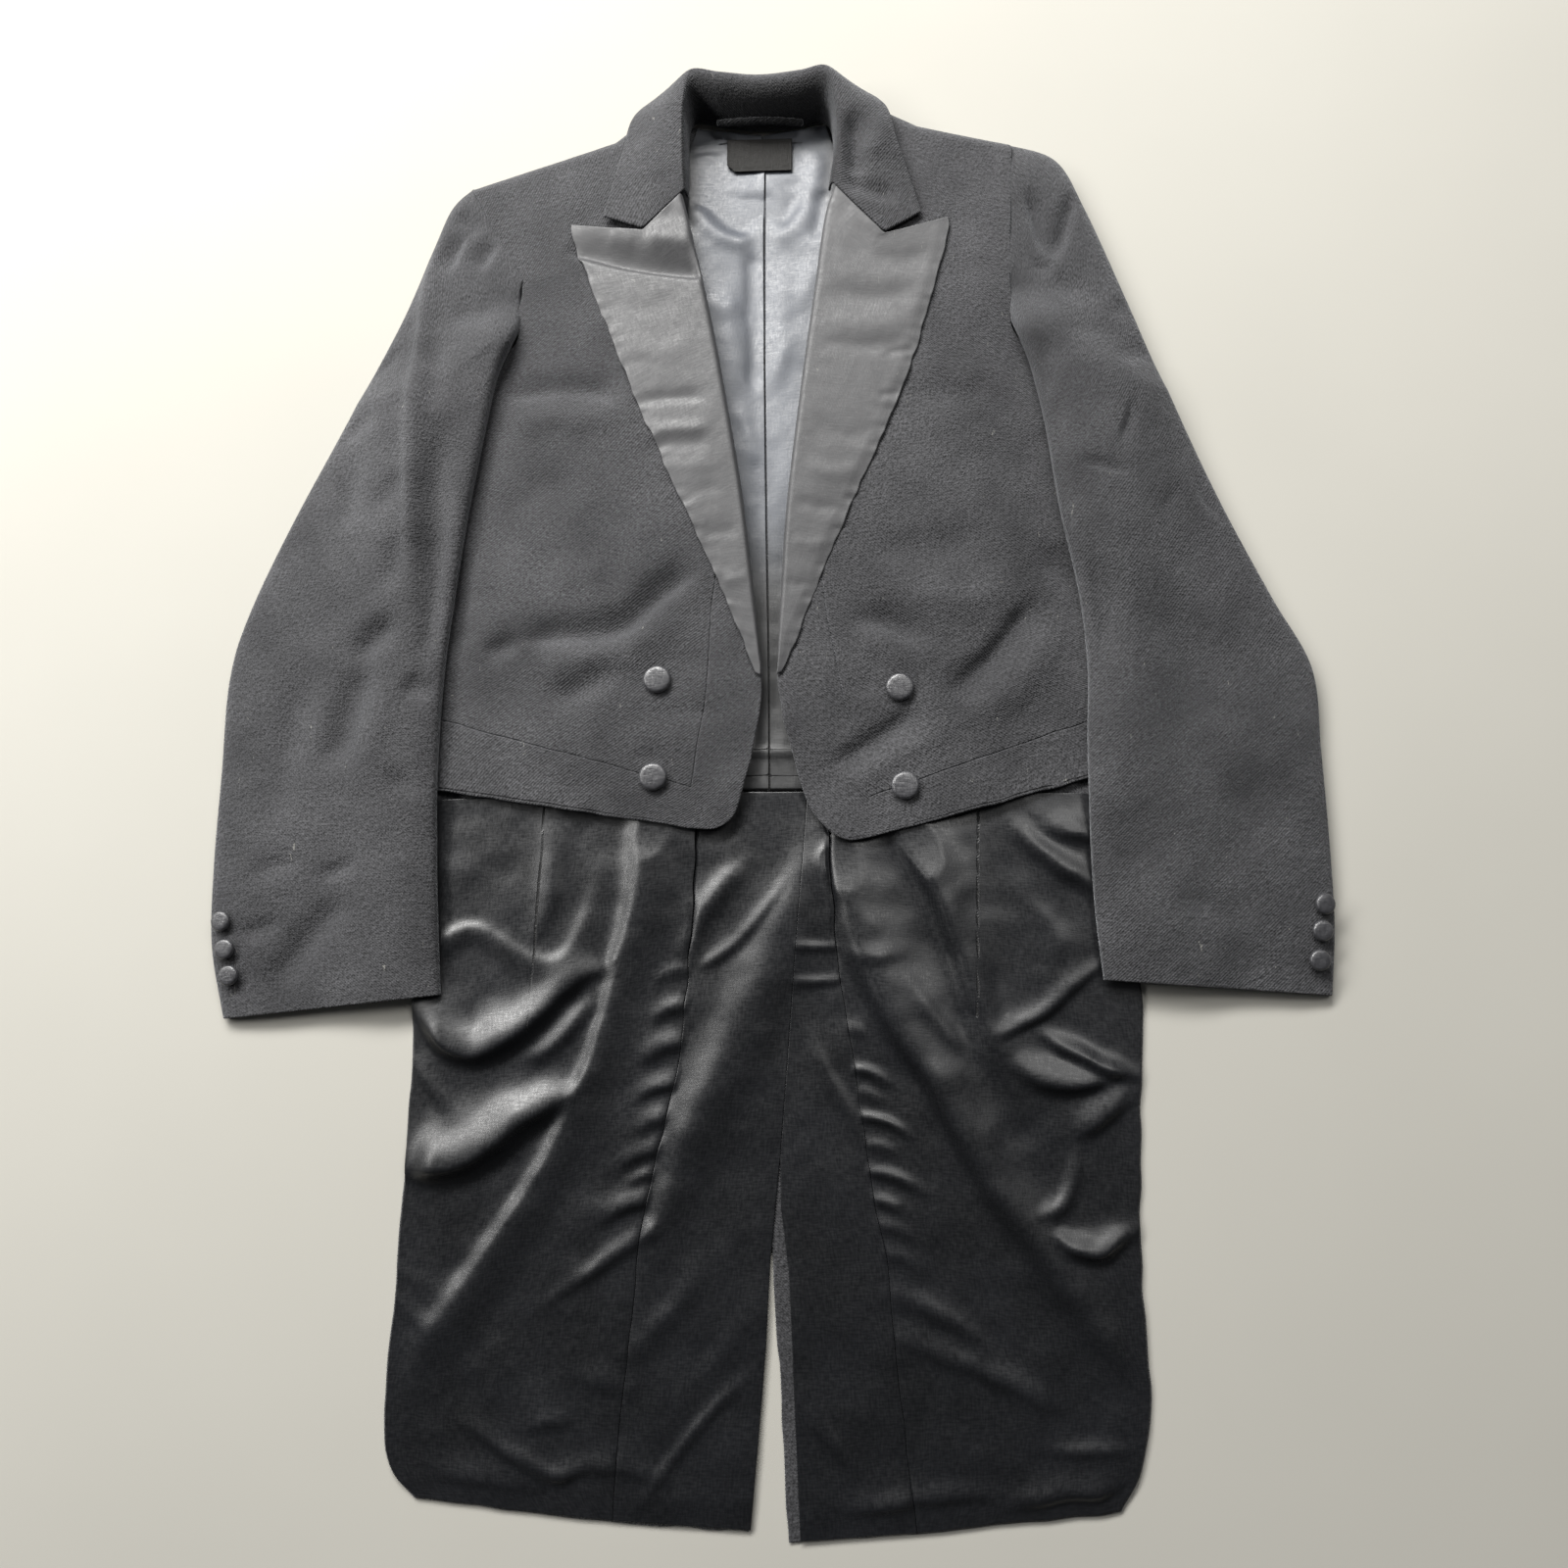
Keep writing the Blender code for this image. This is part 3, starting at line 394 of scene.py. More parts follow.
def stations(length: float, spacing: float, dense: Sequence[float]) -> Grid:
    """Even stations along a length, with closer ones on both sides of the dense places.

    Args:
        length: the length, mm.
        spacing: the even step, mm.
        dense: places of seams and edges, mm.

    Returns:
        Rising positions from 0 to length.
    """
    even = np.linspace(0, length, max(2, int(round(length / spacing)) + 1))
    close = np.concatenate([[d + s * step for s in (-1, 1) for step in EDGE_STEPS] for d in dense])
    close = np.unique(np.round(close[(close >= 0) & (close <= length)], 6))
    far = np.abs(even[:, None] - close[None]).min(1) > 0.6
    ends = np.array([0.0, length])
    merged = np.unique(np.concatenate([even[far], close, ends]))
    keep = np.concatenate([[True], np.diff(merged) > 1e-5])
    return merged[keep]


def fine_rows(table: Sequence[tuple], names: Sequence[str], spacing: float, dense: Sequence[float],
              low: float = 0.0, high: Optional[float] = None) -> Grid:
    """Fractional rows of a table an even distance apart along the mean of the named lines.

    Args:
        table: the sections.
        names: prefixes of the x and y columns whose mean line is measured.
        spacing: distance between rows, mm.
        dense: row numbers of seams or edges, where the rows are closer.
        low: the first row number.
        high: the last row number, or the table's last when None.

    Returns:
        The row numbers.
    """
    high = len(table) - 1 if high is None else high
    probe = np.unique(np.concatenate([np.linspace(low, high, 40 * len(table)), list(dense)]))
    col = columns(table, probe)
    line = sum(pair(col, name) for name in names) / len(names)
    s = np.concatenate([[0], np.cumsum(np.linalg.norm(np.diff(line, axis=0), axis=1))])
    marks = np.interp(dense, probe, s)
    return np.interp(stations(s[-1], spacing, marks), s, probe)


def spread(a: Grid, b: Grid, c: Grid, fractions: Grid, middle: float) -> Grid:
    """Points on the straight lines a to b and b to c, b being at the middle fraction."""
    f = np.asarray(fractions)[None, :, None]
    first = a[:, None] + (b - a)[:, None] * (f / middle)
    second = b[:, None] + (c - b)[:, None] * ((f - middle) / (1 - middle))
    return np.where(f <= middle, first, second)


def body_height(x: Grid, y: Grid) -> Grid:
    """Height of the fronts: the crown along the coat, sinking by up to 45 % towards the sides."""
    knots = np.array(CROWN)
    crown = np.interp(y, knots[:, 0], knots[:, 1])
    low_side = 0.45 * smoothstep((np.abs(x) - 120) / 130) * (1 - smoothstep((y - 290) / 90))
    return crown * (1 - low_side)


def main_fold_height(x: Grid, y: Grid, pleat_x: Grid) -> Grid:
    """Height of the tails' main folds: Gaussians across bent lines, none past the pleats."""
    h = np.zeros_like(x)
    for fold in MAIN_FOLDS:
        t = np.linspace(0, 1, 321)
        px = (1 - t) ** 2 * fold.x0 + 2 * t * (1 - t) * fold.x1 + t**2 * fold.x2
        py = (1 - t) ** 2 * fold.y0 + 2 * t * (1 - t) * fold.y1 + t**2 * fold.y2
        near = (np.abs(x - px.mean()) < np.ptp(px) / 2 + 60) & (np.abs(y - py.mean()) < np.ptp(py) / 2 + 60)
        far = np.hypot(x[near][:, None] - px, y[near][:, None] - py)
        nearest = far.argmin(-1)
        fade = smoothstep(6 * t[nearest]) * smoothstep(3 * (1.05 - t[nearest]))
        h[near] = np.maximum(h[near], fold.height * fade * np.exp(-((far.min(-1) / fold.width) ** 2)))
    clear = smoothstep((np.abs(x) - np.abs(pleat_x)) / 22)
    return np.maximum(0.0, h * clear - 0.25)


def lattice_noise(x: Grid, y: Grid, size: float, seed: int) -> Grid:
    """Smooth noise from -1 to 1: seeded values on a square lattice, joined by smoothsteps."""
    values = np.random.default_rng(seed).uniform(-1, 1, (256, 256))
    u, v = x / size + 64, y / size + 64
    i, j = np.floor(u).astype(int), np.floor(v).astype(int)
    fu, fv = smoothstep(u - i), smoothstep(v - j)
    i, j = i % 255, j % 255
    low = values[i, j] * (1 - fu) + values[i + 1, j] * fu
    high = values[i, j + 1] * (1 - fu) + values[i + 1, j + 1] * fu
    return low * (1 - fv) + high * fv


@dataclass(frozen=True)
class Crease:
    """A soft ridge, or a trough where the height is below 0, along a smooth line.

    Its section is a Gaussian, wider on the line's left side by the share lean and narrower on its right
    side by as much. Its height fades in and out over the share fade of its length at each end.
    """

    path: tuple
    height: float
    width: float
    lean: float = 0.0
    fade: float = 0.25

    def field(self, x: Grid, y: Grid) -> Grid:
        """Height of the crease at the given plan points, mm."""
        knots = np.array(self.path, float)
        n = 14 * (len(knots) - 1) + 1
        line = along([tuple(k) for k in knots], np.linspace(0, len(knots) - 1, n))
        reach = 3.0 * self.width
        low, high = line.min(0) - reach, line.max(0) + reach
        near = (x > low[0]) & (x < high[0]) & (y > low[1]) & (y < high[1])
        out = np.zeros_like(x)
        if not near.any():
            return out
        p = np.stack([x[near], y[near]], -1)
        a, b = line[:-1], line[1:]
        step = b - a
        length = np.linalg.norm(step, axis=1)
        offset = p[:, None] - a[None]
        t = np.clip((offset * step).sum(-1) / length**2, 0, 1)
        gap = offset - t[..., None] * step
        far = np.linalg.norm(gap, axis=-1)
        k = far.argmin(1)
        rows = np.arange(len(p))
        start = np.concatenate([[0], np.cumsum(length)])
        share = (start[k] + t[rows, k] * length[k]) / start[-1]
        left = step[k, 0] * offset[rows, k, 1] - step[k, 1] * offset[rows, k, 0]
        width = self.width * (1 + self.lean * np.tanh(left / (length[k] * self.width * 0.3)))
        ends = smoothstep(share / self.fade) * smoothstep((1 - share) / self.fade)
        out[near] = self.height * ends * np.exp(-((far[rows, k] / width) ** 2))
        return out


class RollRow(NamedTuple):
    """One point of a roll's crest: its place, its height, and its reach to the left and right."""

    x: float
    y: float
    height: float
    left: float
    right: float


@dataclass(frozen=True)
class Roll:
    """A large fold that changes along its length: a Gaussian to each side of its crest.

    Left and right are those of someone who walks the crest in the order of its rows.
    """

    rows: tuple

    def field(self, x: Grid, y: Grid) -> Grid:
        """Height of the roll at the given plan points, mm."""
        n = 10 * (len(self.rows) - 1) + 1
        line = along(self.rows, np.linspace(0, len(self.rows) - 1, n))
        reach = 2.6 * line[:, 3:].max()
        low, high = line[:, :2].min(0) - reach, line[:, :2].max(0) + reach
        near = (x > low[0]) & (x < high[0]) & (y > low[1]) & (y < high[1])
        out = np.zeros_like(x)
        points = np.stack([x[near], y[near]], -1)
        start, step = line[:-1, :2], np.diff(line[:, :2], axis=0)
        offset = points[:, None] - start[None]
        t = np.clip((offset * step).sum(-1) / (step**2).sum(-1), 0, 1)
        far = np.linalg.norm(offset - t[..., None] * step, axis=-1)
        k = far.argmin(1)
        rows = np.arange(len(points))
        t, far, offset = t[rows, k], far[rows, k], offset[rows, k]
        here = line[k] * (1 - t)[:, None] + line[k + 1] * t[:, None]
        on_left = step[k, 0] * offset[:, 1] - step[k, 1] * offset[:, 0] > 0
        width = np.where(on_left, here[:, 3], here[:, 4])
        out[near] = here[:, 2] * np.exp(-((far / width) ** 2))
        return out


def crease_field(creases: Sequence[Union[Crease, Roll]], x: Grid, y: Grid) -> Grid:
    """Sum of the creases' heights at the given plan points, mm."""
    total = np.zeros_like(x)
    for crease in creases:
        total += crease.field(x, y)
    return total


def line_distance(lines: Sequence[tuple], x: Grid, y: Grid) -> Grid:
    """Distance of the plan points from the nearest of some bent lines, up to 30 mm."""
    nearest = np.full(x.shape, 30.0)
    for line in lines:
        knots = np.array(line, float)
        for a, b in zip(knots[:-1], knots[1:]):
            step = b - a
            t = np.clip(((x - a[0]) * step[0] + (y - a[1]) * step[1]) / (step @ step), 0, 1)
            nearest = np.minimum(nearest, np.hypot(x - a[0] - t * step[0], y - a[1] - t * step[1]))
    return nearest


def hand_drawn(plan: Grid, size: float, reach: float, seed: int) -> Grid:
    """The plan points moved by smooth noise, so that no edge or seam is ruler-straight."""
    x, y = plan[..., 0], plan[..., 1]
    shift = np.stack([lattice_noise(x, y, size, seed), lattice_noise(x, y, size, seed + 1)], -1)
    return plan + reach * shift


def round_corner(plan: Grid, radius: float) -> Grid:
    """The plan with the corner at its first row and column rounded.

    The square of the given side at the corner is pressed into a quarter disc: with a and b the shares
    of the side left to the two far sides, a becomes a sqrt(1 - b^2 / 2) and b becomes b sqrt(1 - a^2 / 2).
    """
    along_row = np.linalg.norm(np.diff(plan, axis=1), axis=-1)
    along_col = np.linalg.norm(np.diff(plan, axis=0), axis=-1)
    u = np.concatenate([np.zeros((len(plan), 1)), np.cumsum(along_row, 1)], 1)
    v = np.concatenate([np.zeros((1, plan.shape[1])), np.cumsum(along_col, 0)], 0)
    a = np.clip(1 - u / radius, 0, 1)
    b = np.clip(1 - v / radius, 0, 1)
    inward = (plan[0, -1] - plan[0, 0]) / np.linalg.norm(plan[0, -1] - plan[0, 0])
    first = plan[min(12, len(plan) - 1), 0] - plan[0, 0]
    upward = first / np.linalg.norm(first)
    move_a = (a - a * np.sqrt(1 - b**2 / 2)) * radius
    move_b = (b - b * np.sqrt(1 - a**2 / 2)) * radius
    return plan + move_a[..., None] * inward + move_b[..., None] * upward


def unit_normals(grid: Grid) -> Grid:
    """Unit normals of a grid surface: rows' tangent crossed with columns' tangent, most of them up."""
    across = np.gradient(grid, axis=1)
    down = np.gradient(grid, axis=0)
    n = np.cross(across, down)
    n /= np.maximum(np.linalg.norm(n, axis=-1, keepdims=True), 1e-9)
    return n if n[..., 2].mean() > 0 else -n


# ---- Meshes


@dataclass
class Piece:
    """A finished cloth piece and what it measures, laid flat."""

    obj: bpy.types.Object
    width: float
    length: float
    area: float


def mesh_object(name: str, points: Grid, faces: Grid, uv: Optional[Grid] = None,
                attributes: Optional[dict[str, Grid]] = None) -> bpy.types.Object:
    """A smooth mesh object from points in mm and faces of four points each.

    Args:
        name: the piece's name.
        points: n x 3 points, mm.
        faces: m x 4 indices; a triangle repeats none and has its own call.
        uv: n x 2 places on the flat cloth, m, for the map called cloth.
        attributes: point attributes by name.

    Returns:
        The object, at the origin.
    """
    mesh = bpy.data.meshes.new(name)
    mesh.from_pydata((points * MM).tolist(), [], faces.tolist())
    if uv is not None:
        layer = mesh.uv_layers.new(name="cloth")
        index = np.empty(len(mesh.loops), np.int32)
        mesh.loops.foreach_get("vertex_index", index)
        layer.data.foreach_set("uv", uv[index].astype(np.float32).ravel())
    for key, values in (attributes or {}).items():
        mesh.attributes.new(key, "FLOAT", "POINT").data.foreach_set("value", values.astype(np.float32))
    mesh.shade_smooth()
    mesh.update()
    obj = bpy.data.objects.new(name, mesh)
    bpy.context.scene.collection.objects.link(obj)
    return obj


def arc_map(grid: Grid) -> Grid:
    """Places on the flat cloth, m: distance across from the middle column and along that column."""
    middle = grid.shape[1] // 2
    across = np.linalg.norm(np.diff(grid, axis=1), axis=-1)
    u = np.concatenate([np.zeros((len(grid), 1)), np.cumsum(across, 1)], 1)
    u -= u[:, middle:middle + 1]
    down = np.linalg.norm(np.diff(grid[:, middle], axis=0), axis=-1)
    v = np.concatenate([[0], np.cumsum(down)])
    return np.dstack([u, np.broadcast_to(v[:, None], u.shape)]) * MM


def edge_distance(grid: Grid, keep: Grid) -> tuple[Grid, Grid, Grid]:
    """How far each kept point is from the kept cells' border.

    Args:
        grid: rows x columns x 3 points, mm.
        keep: which cells are kept.

    Returns:
        The kept points' mask, the border's mask, and the distance of each point, mm.
    """
    padded = np.zeros((keep.shape[0] + 2, keep.shape[1] + 2), int)
    padded[1:-1, 1:-1] = keep
    cells = padded[:-1, :-1] + padded[1:, :-1] + padded[:-1, 1:] + padded[1:, 1:]
    used = cells > 0
    border = used & (cells < 4)
    edge = grid[border]
    distance = np.zeros(used.shape)
    points = grid[used]
    nearest = np.empty(len(points))
    chunk = 2000
    for k in range(0, len(points), chunk):
        gap = points[k:k + chunk, None, :] - edge[None]
        nearest[k:k + chunk] = np.sqrt((gap**2).sum(-1).min(1))
    distance[used] = nearest
    return used, border, distance


def cloth_shell(name: str, outer: Grid, thickness: float, keep: Optional[Grid] = None,
                edge_round: Optional[float] = None, floor: float = -1e9, bottom: bool = False,
                seams: Sequence[tuple] = (), painted_shade: Optional[Grid] = None) -> Piece:
    """A closed shell below an outer surface, with half-round edges.

    At distance d from its edge the shell's half thickness is h sqrt(1 - (1 - d/r)^2) up to the edge
    round r, about its middle surface, so its outer and inner faces meet at the edge in one line.

    Args:
        name: the piece's name.
        outer: rows x columns x 3 points of the outer surface, mm.
        thickness: of the cloth, mm.
        keep: the cells that belong to the piece, or all of them.
        edge_round: how far in the edge is rounded, mm, or 0.7 of the thickness.
        floor: the lowest height of any point, mm.
        bottom: True where the given grid is the lower surface and the shell goes up from it.
        seams: bent plan lines along which the material draws a seam.
        painted_shade: how far painted shadow darkens the cloth's colour at each point, from 0 to 1.

    Returns:
        The piece and its flat size.
    """
    keep = np.ones((outer.shape[0] - 1, outer.shape[1] - 1), bool) if keep is None else keep
    edge_round = 0.7 * thickness if edge_round is None else edge_round
    used, border, distance = edge_distance(outer, keep)
    n = unit_normals(outer)
    swell = np.sqrt(1 - (1 - np.clip(distance / edge_round, 0, 1)) ** 2)[..., None]
    half = 0.5 * thickness
    middle = outer + half * n if bottom else outer - half * n
    top = middle + half * swell * n
    low = middle - half * swell * n
    low[..., 2] = np.maximum(low[..., 2], floor)
    top[..., 2] = np.maximum(top[..., 2], floor)
    inner_used = used & ~border
    top_index = np.full(used.shape, -1)
    top_index[used] = np.arange(used.sum())
    low_index = top_index.copy()
    low_index[inner_used] = used.sum() + np.arange(inner_used.sum())
    points = np.concatenate([top[used], low[inner_used]])
    i, j = np.nonzero(keep)
    upper = np.stack([top_index[i, j], top_index[i, j + 1], top_index[i + 1, j + 1], top_index[i + 1, j]], -1)
    lower = np.stack([low_index[i, j], low_index[i + 1, j], low_index[i + 1, j + 1], low_index[i, j + 1]], -1)
    across, down = np.gradient(outer, axis=1), np.gradient(outer, axis=0)
    if (np.cross(across, down) * n).sum(-1).mean() < 0:
        upper, lower = upper[:, ::-1], lower[:, ::-1]
    whole = (upper[:, None] == lower[:, :, None]).any(1).sum(1) < 4
    faces = np.concatenate([upper, lower[whole]])
    flat = arc_map(outer)
    uv = np.concatenate([flat[used], flat[inner_used]])
    drawn = line_distance(seams, outer[..., 0], outer[..., 1])
    fields = {"edge_mm": distance, "seam_mm": drawn}
    # Painted shadow: a point attribute by which the material darkens the base colour.
    fields["painted_shade"] = np.zeros(used.shape) if painted_shade is None else painted_shade
    attributes = {key: np.concatenate([value[used], value[inner_used]]) for key, value in fields.items()}
    obj = mesh_object(name, points, faces, uv, attributes)
    diagonal_a = outer[1:, 1:] - outer[:-1, :-1]
    diagonal_b = outer[1:, :-1] - outer[:-1, 1:]
    cell = 0.5 * np.linalg.norm(np.cross(diagonal_a, diagonal_b), axis=-1)
    area = float(cell[keep].sum()) * MM * MM
    widest = np.where(used, flat[..., 0], -1e9).max(1) - np.where(used, flat[..., 0], 1e9).min(1)
    return Piece(obj, float(widest.max()), float(np.ptp(flat[..., 1][used])), area)


# ---- Materials


def linear(hex_colour: str) -> tuple[float, float, float, float]:
    """An sRGB hex colour as linear RGBA."""
    values = [int(hex_colour[i:i + 2], 16) / 255 for i in (1, 3, 5)]
    red, green, blue = (v / 12.92 if v <= 0.04045 else ((v + 0.055) / 1.055) ** 2.4 for v in values)
    return red, green, blue, 1.0


def add(tree: bpy.types.NodeTree, kind: str, inputs: Optional[dict] = None, **settings) -> bpy.types.Node:
    """Add one node with its settings and its inputs, each a value or a socket to link from."""
    made = tree.nodes.new(f"ShaderNode{kind}")
    for key, value in settings.items():
        setattr(made, key, value)
    for key, value in (inputs or {}).items():
        socket = made.inputs[key]
        if isinstance(value, Socket):
            tree.links.new(value, socket)
        else:
            socket.default_value = value
    return made


def wave_scale(period_mm: float) -> float:
    """Scale of a Wave Texture on a map in metres for bands a given distance apart: 2 pi / (20 period)."""
    return 2 * math.pi / (20 * period_mm * MM)


@dataclass(frozen=True)
class Finish:
    """One cloth: what it is made of and how it was woven.

    thread_mm is the spacing at which the weave is drawn. Real threads are 0.2 to 0.5 mm apart, too fine
    to show, so they are drawn coarser. streak is how much single threads differ in tone.
    """

    name: str
    slot: Slot
    base: str
    faded: str
    roughness: float
    specular: float
    sheen: float
    anisotropy: float
    thread_mm: float
    weave_depth: float
    crumple_mm: float
    crumple_depth: float
    streak: float
    twill: bool
    flecks: float = 0.0
    cloth_map: bool = True
    seam_reach: float = 0.75

    def material(self) -> bpy.types.Material:
        """The finish as a node material, made once."""
        mat = bpy.data.materials.get(self.name)
        if mat:
            return mat
        mat = bpy.data.materials.new(self.name)
        mat.use_nodes = True
        tree = mat.node_tree
        shader = tree.nodes["Principled BSDF"]
        place = add(tree, "TexCoord").outputs["Object"]
        weave_place = add(tree, "UVMap", uv_map="cloth").outputs["UV"] if self.cloth_map else place
        threads = self.threads(tree, weave_place)
        seam = self.seam(tree, place) if self.cloth_map else None
        tree.links.new(self.tone(tree, place, threads, seam), shader.inputs["Base Color"])
        shader.inputs["Metallic"].default_value = 0.0
        shader.inputs["IOR"].default_value = 1.5
        shader.inputs["Specular IOR Level"].default_value = self.specular
        shader.inputs["Sheen Weight"].default_value = self.sheen
        shader.inputs["Sheen Roughness"].default_value = 0.45
        shader.inputs["Sheen Tint"].default_value = (0.78, 0.80, 0.84, 1.0)
        shader.inputs["Anisotropic"].default_value = self.anisotropy
        rough = add(tree, "MapRange", {
            "Value": threads, "To Min": self.roughness - 0.08, "To Max": self.roughness + 0.08})
        rough = rough.outputs["Result"]
        if seam is not None:
            rough = add(tree, "Math", {0: seam, 1: 0.5, 2: rough}, operation="MULTIPLY_ADD").outputs[0]
        tree.links.new(rough, shader.inputs["Roughness"])
        if self.anisotropy and self.cloth_map:
            tangent = add(tree, "Tangent", direction_type="UV_MAP", uv_map="cloth")
            tree.links.new(tangent.outputs["Tangent"], shader.inputs["Tangent"])
        tree.links.new(self.relief(tree, place, weave_place, threads, seam), shader.inputs["Normal"])
        return mat

    def threads(self, tree: bpy.types.NodeTree, weave_place: Socket) -> Socket:
        """Uneven threads: noise drawn out along the warp and along the weft, laid together."""
        sides = []
        drawn = 0.5 if self.twill else 0.22
        for stretch in ((1.0, drawn, 1.0), (drawn, 1.0, 1.0)):
            long = add(tree, "Mapping", {"Vector": weave_place, "Scale": stretch})
            sides.append(add(tree, "TexNoise", {
                "Vector": long.outputs["Vector"], "Scale": 0.75 / (self.thread_mm * MM), "Detail": 2.0}))
        both = add(tree, "Math", {0: sides[0].outputs["Fac"], 1: sides[1].outputs["Fac"]}, operation="ADD")
        return add(tree, "MapRange", {
            "Value": both.outputs[0], "From Min": 0.72, "From Max": 1.28}).outputs["Result"]

    def seam(self, tree: bpy.types.NodeTree, place: Socket) -> Socket:
        """Where a stitched seam line runs, 1 on the line, drawn with gaps between its stitches."""
        away = add(tree, "Attribute", attribute_name="seam_mm").outputs["Fac"]
        line = add(tree, "MapRange", {
            "Value": away, "From Min": 0.5 * self.seam_reach, "From Max": self.seam_reach,
            "To Min": 1.0, "To Max": 0.0})
        gaps = add(tree, "TexNoise", {"Vector": place, "Scale": 420.0, "Detail": 1.0})
        shown = add(tree, "MapRange", {
            "Value": gaps.outputs["Fac"], "From Min": 0.30, "From Max": 0.50, "To Min": 0.55})
        return add(tree, "Math", {0: line.outputs["Result"], 1: shown.outputs["Result"]},
                   operation="MULTIPLY").outputs[0]

    def tone(self, tree: bpy.types.NodeTree, place: Socket, threads: Socket,
             seam: Optional[Socket]) -> Socket:
        """Base colour: cloudy wear between two tones, uneven threads, pale fibres, seams, and painted shadow
        from a point attribute.
        """
        cloud = add(tree, "TexNoise", {"Vector": place, "Scale": 14.0, "Detail": 6.0, "Roughness": 0.65})
        share = add(tree, "MapRange", {"Value": cloud.outputs["Fac"], "From Min": 0.3, "From Max": 0.7})
        mixed = add(tree, "Mix", {
            "Factor": share.outputs["Result"], "A": linear(self.base), "B": linear(self.faded)},
            data_type="RGBA").outputs["Result"]
        level = add(tree, "MapRange", {
            "Value": threads, "To Min": 1.0 - self.streak, "To Max": 1.0 + self.streak}).outputs["Result"]
        colour = add(tree, "VectorMath", {0: mixed, "Scale": level}, operation="SCALE").outputs["Vector"]
        if self.flecks:
            drawn_out = add(tree, "Mapping", {"Vector": place, "Rotation": (0, 0, 0.6), "Scale": (1, 0.35, 1)})
            fibre = add(tree, "TexNoise", {
                "Vector": drawn_out.outputs["Vector"], "Scale": 330.0, "Detail": 1.0, "Distortion": 1.2})
            pick = add(tree, "MapRange", {
                "Value": fibre.outputs["Fac"], "From Min": 0.775, "From Max": 0.81, "To Max": self.flecks})
            colour = add(tree, "Mix", {
                "Factor": pick.outputs["Result"], "A": colour, "B": linear("#8d8c86")},
                data_type="RGBA").outputs["Result"]
        if seam is None:
            return colour
        # Painted shadow: the colour is darkened by a point attribute where the cloth lies in shadow.
        painted_shade = add(tree, "Attribute", attribute_name="painted_shade").outputs["Fac"]
        dark = add(tree, "MapRange", {"Value": seam, "To Min": 1.0, "To Max": 0.2}).outputs["Result"]
        lit = add(tree, "Math", {0: 1.0, 1: painted_shade}, operation="SUBTRACT").outputs[0]
        keep = add(tree, "Math", {0: dark, 1: lit}, operation="MULTIPLY").outputs[0]
        return add(tree, "VectorMath", {0: colour, "Scale": keep}, operation="SCALE").outputs["Vector"]

    def relief(self, tree: bpy.types.NodeTree, place: Socket, weave_place: Socket, threads: Socket,
               seam: Optional[Socket]) -> Socket:
        """Surface relief: thread bands and uneven threads on the cloth's own map, over soft crumples."""
        first = "DIAGONAL" if self.twill else "X"
        bands = add(tree, "TexWave", {
            "Vector": weave_place, "Scale": wave_scale(self.thread_mm), "Distortion": 1.4,
            "Detail": 2.0, "Detail Scale": 1.5}, bands_direction=first)
        height = add(tree, "Math", {0: bands.outputs["Fac"], 1: 0.5, 2: threads}, operation="MULTIPLY_ADD")
        height = height.outputs[0]
        crumple = add(tree, "TexNoise", {
            "Vector": place, "Scale": 1.0 / (self.crumple_mm * MM), "Detail": 4.0 if self.twill else 1.2, "Roughness": 0.55})
        broad = add(tree, "Bump", {
            "Strength": self.crumple_depth, "Distance": 0.0012, "Height": crumple.outputs["Fac"]})
        fine = add(tree, "Bump", {
            "Strength": self.weave_depth, "Distance": 0.0004, "Height": height,
            "Normal": broad.outputs["Normal"]})
        if seam is None:
            return fine.outputs["Normal"]
        sunk = add(tree, "Bump", {
            "Strength": 0.9, "Distance": 0.0009, "Height": seam, "Normal": fine.outputs["Normal"]},
            invert=True)
        return sunk.outputs["Normal"]


WOOL = Finish("black_barathea_wool", Slot.WOOL, "#252527", "#3e3e40", 0.80, 0.28, 0.28, 0.0,
              1.15, 1.1, 9.0, 0.8, 0.62, True, 0.4)
LAPEL_SATIN = Finish("black_silk_satin", Slot.LAPEL, "#272729", "#343436", 0.62, 0.8, 0.05, 0.3,
                     1.1, 0.14, 9.0, 0.2, 0.12, False, 0.2)
BODY_SATIN = Finish("slate_satin_lining", Slot.LINING, "#363a41", "#464a52", 0.56, 0.9, 0.0, 0.2,
                    1.1, 0.12, 9.0, 0.2, 0.10, False)
TAIL_SATIN = Finish("black_rayon_satin", Slot.TAIL, "#0a0b0d", "#141518", 0.42, 0.6, 0.0, 0.2,
                    1.0, 0.10, 10.0, 0.14, 0.16, False, 0.0, True, 1.2)
LABEL_CLOTH = Finish("plain_label_tape", Slot.LABEL, "#121110", "#1b1a18", 0.7, 0.25, 0.0, 0.0,
                     0.9, 0.6, 5.0, 0.2, 0.3, False)
BUTTON_SILK = Finish("silk_covered_button", Slot.BUTTON, "#2a2a2d", "#38383b", 0.40, 0.8, 0.05, 0.0,
                     0.9, 0.30, 4.0, 0.2, 0.2, False, 0.0, False)


# ---- Putting pieces on the frame


def finish_cloth(piece: Piece, finish: Finish, nodes: Sequence[str]) -> bpy.types.Object:
    """Dress a cloth piece, let it ride on the coat and hide its solids."""
    obj = piece.obj
    obj.data.materials.append(finish.material())
    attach(obj, "root")
    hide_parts(*nodes)
    return obj


def finish_trim(obj: bpy.types.Object, finish: Finish, nodes: Sequence[str]) -> bpy.types.Object:
    """Dress a small piece of trim, let it ride on the coat and hide its solids."""
    obj.data.materials.append(finish.material())
    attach(obj, "root")
    if nodes:
        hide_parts(*nodes)
    log.info("%s: %d faces", obj.name, len(obj.data.polygons))
    return obj


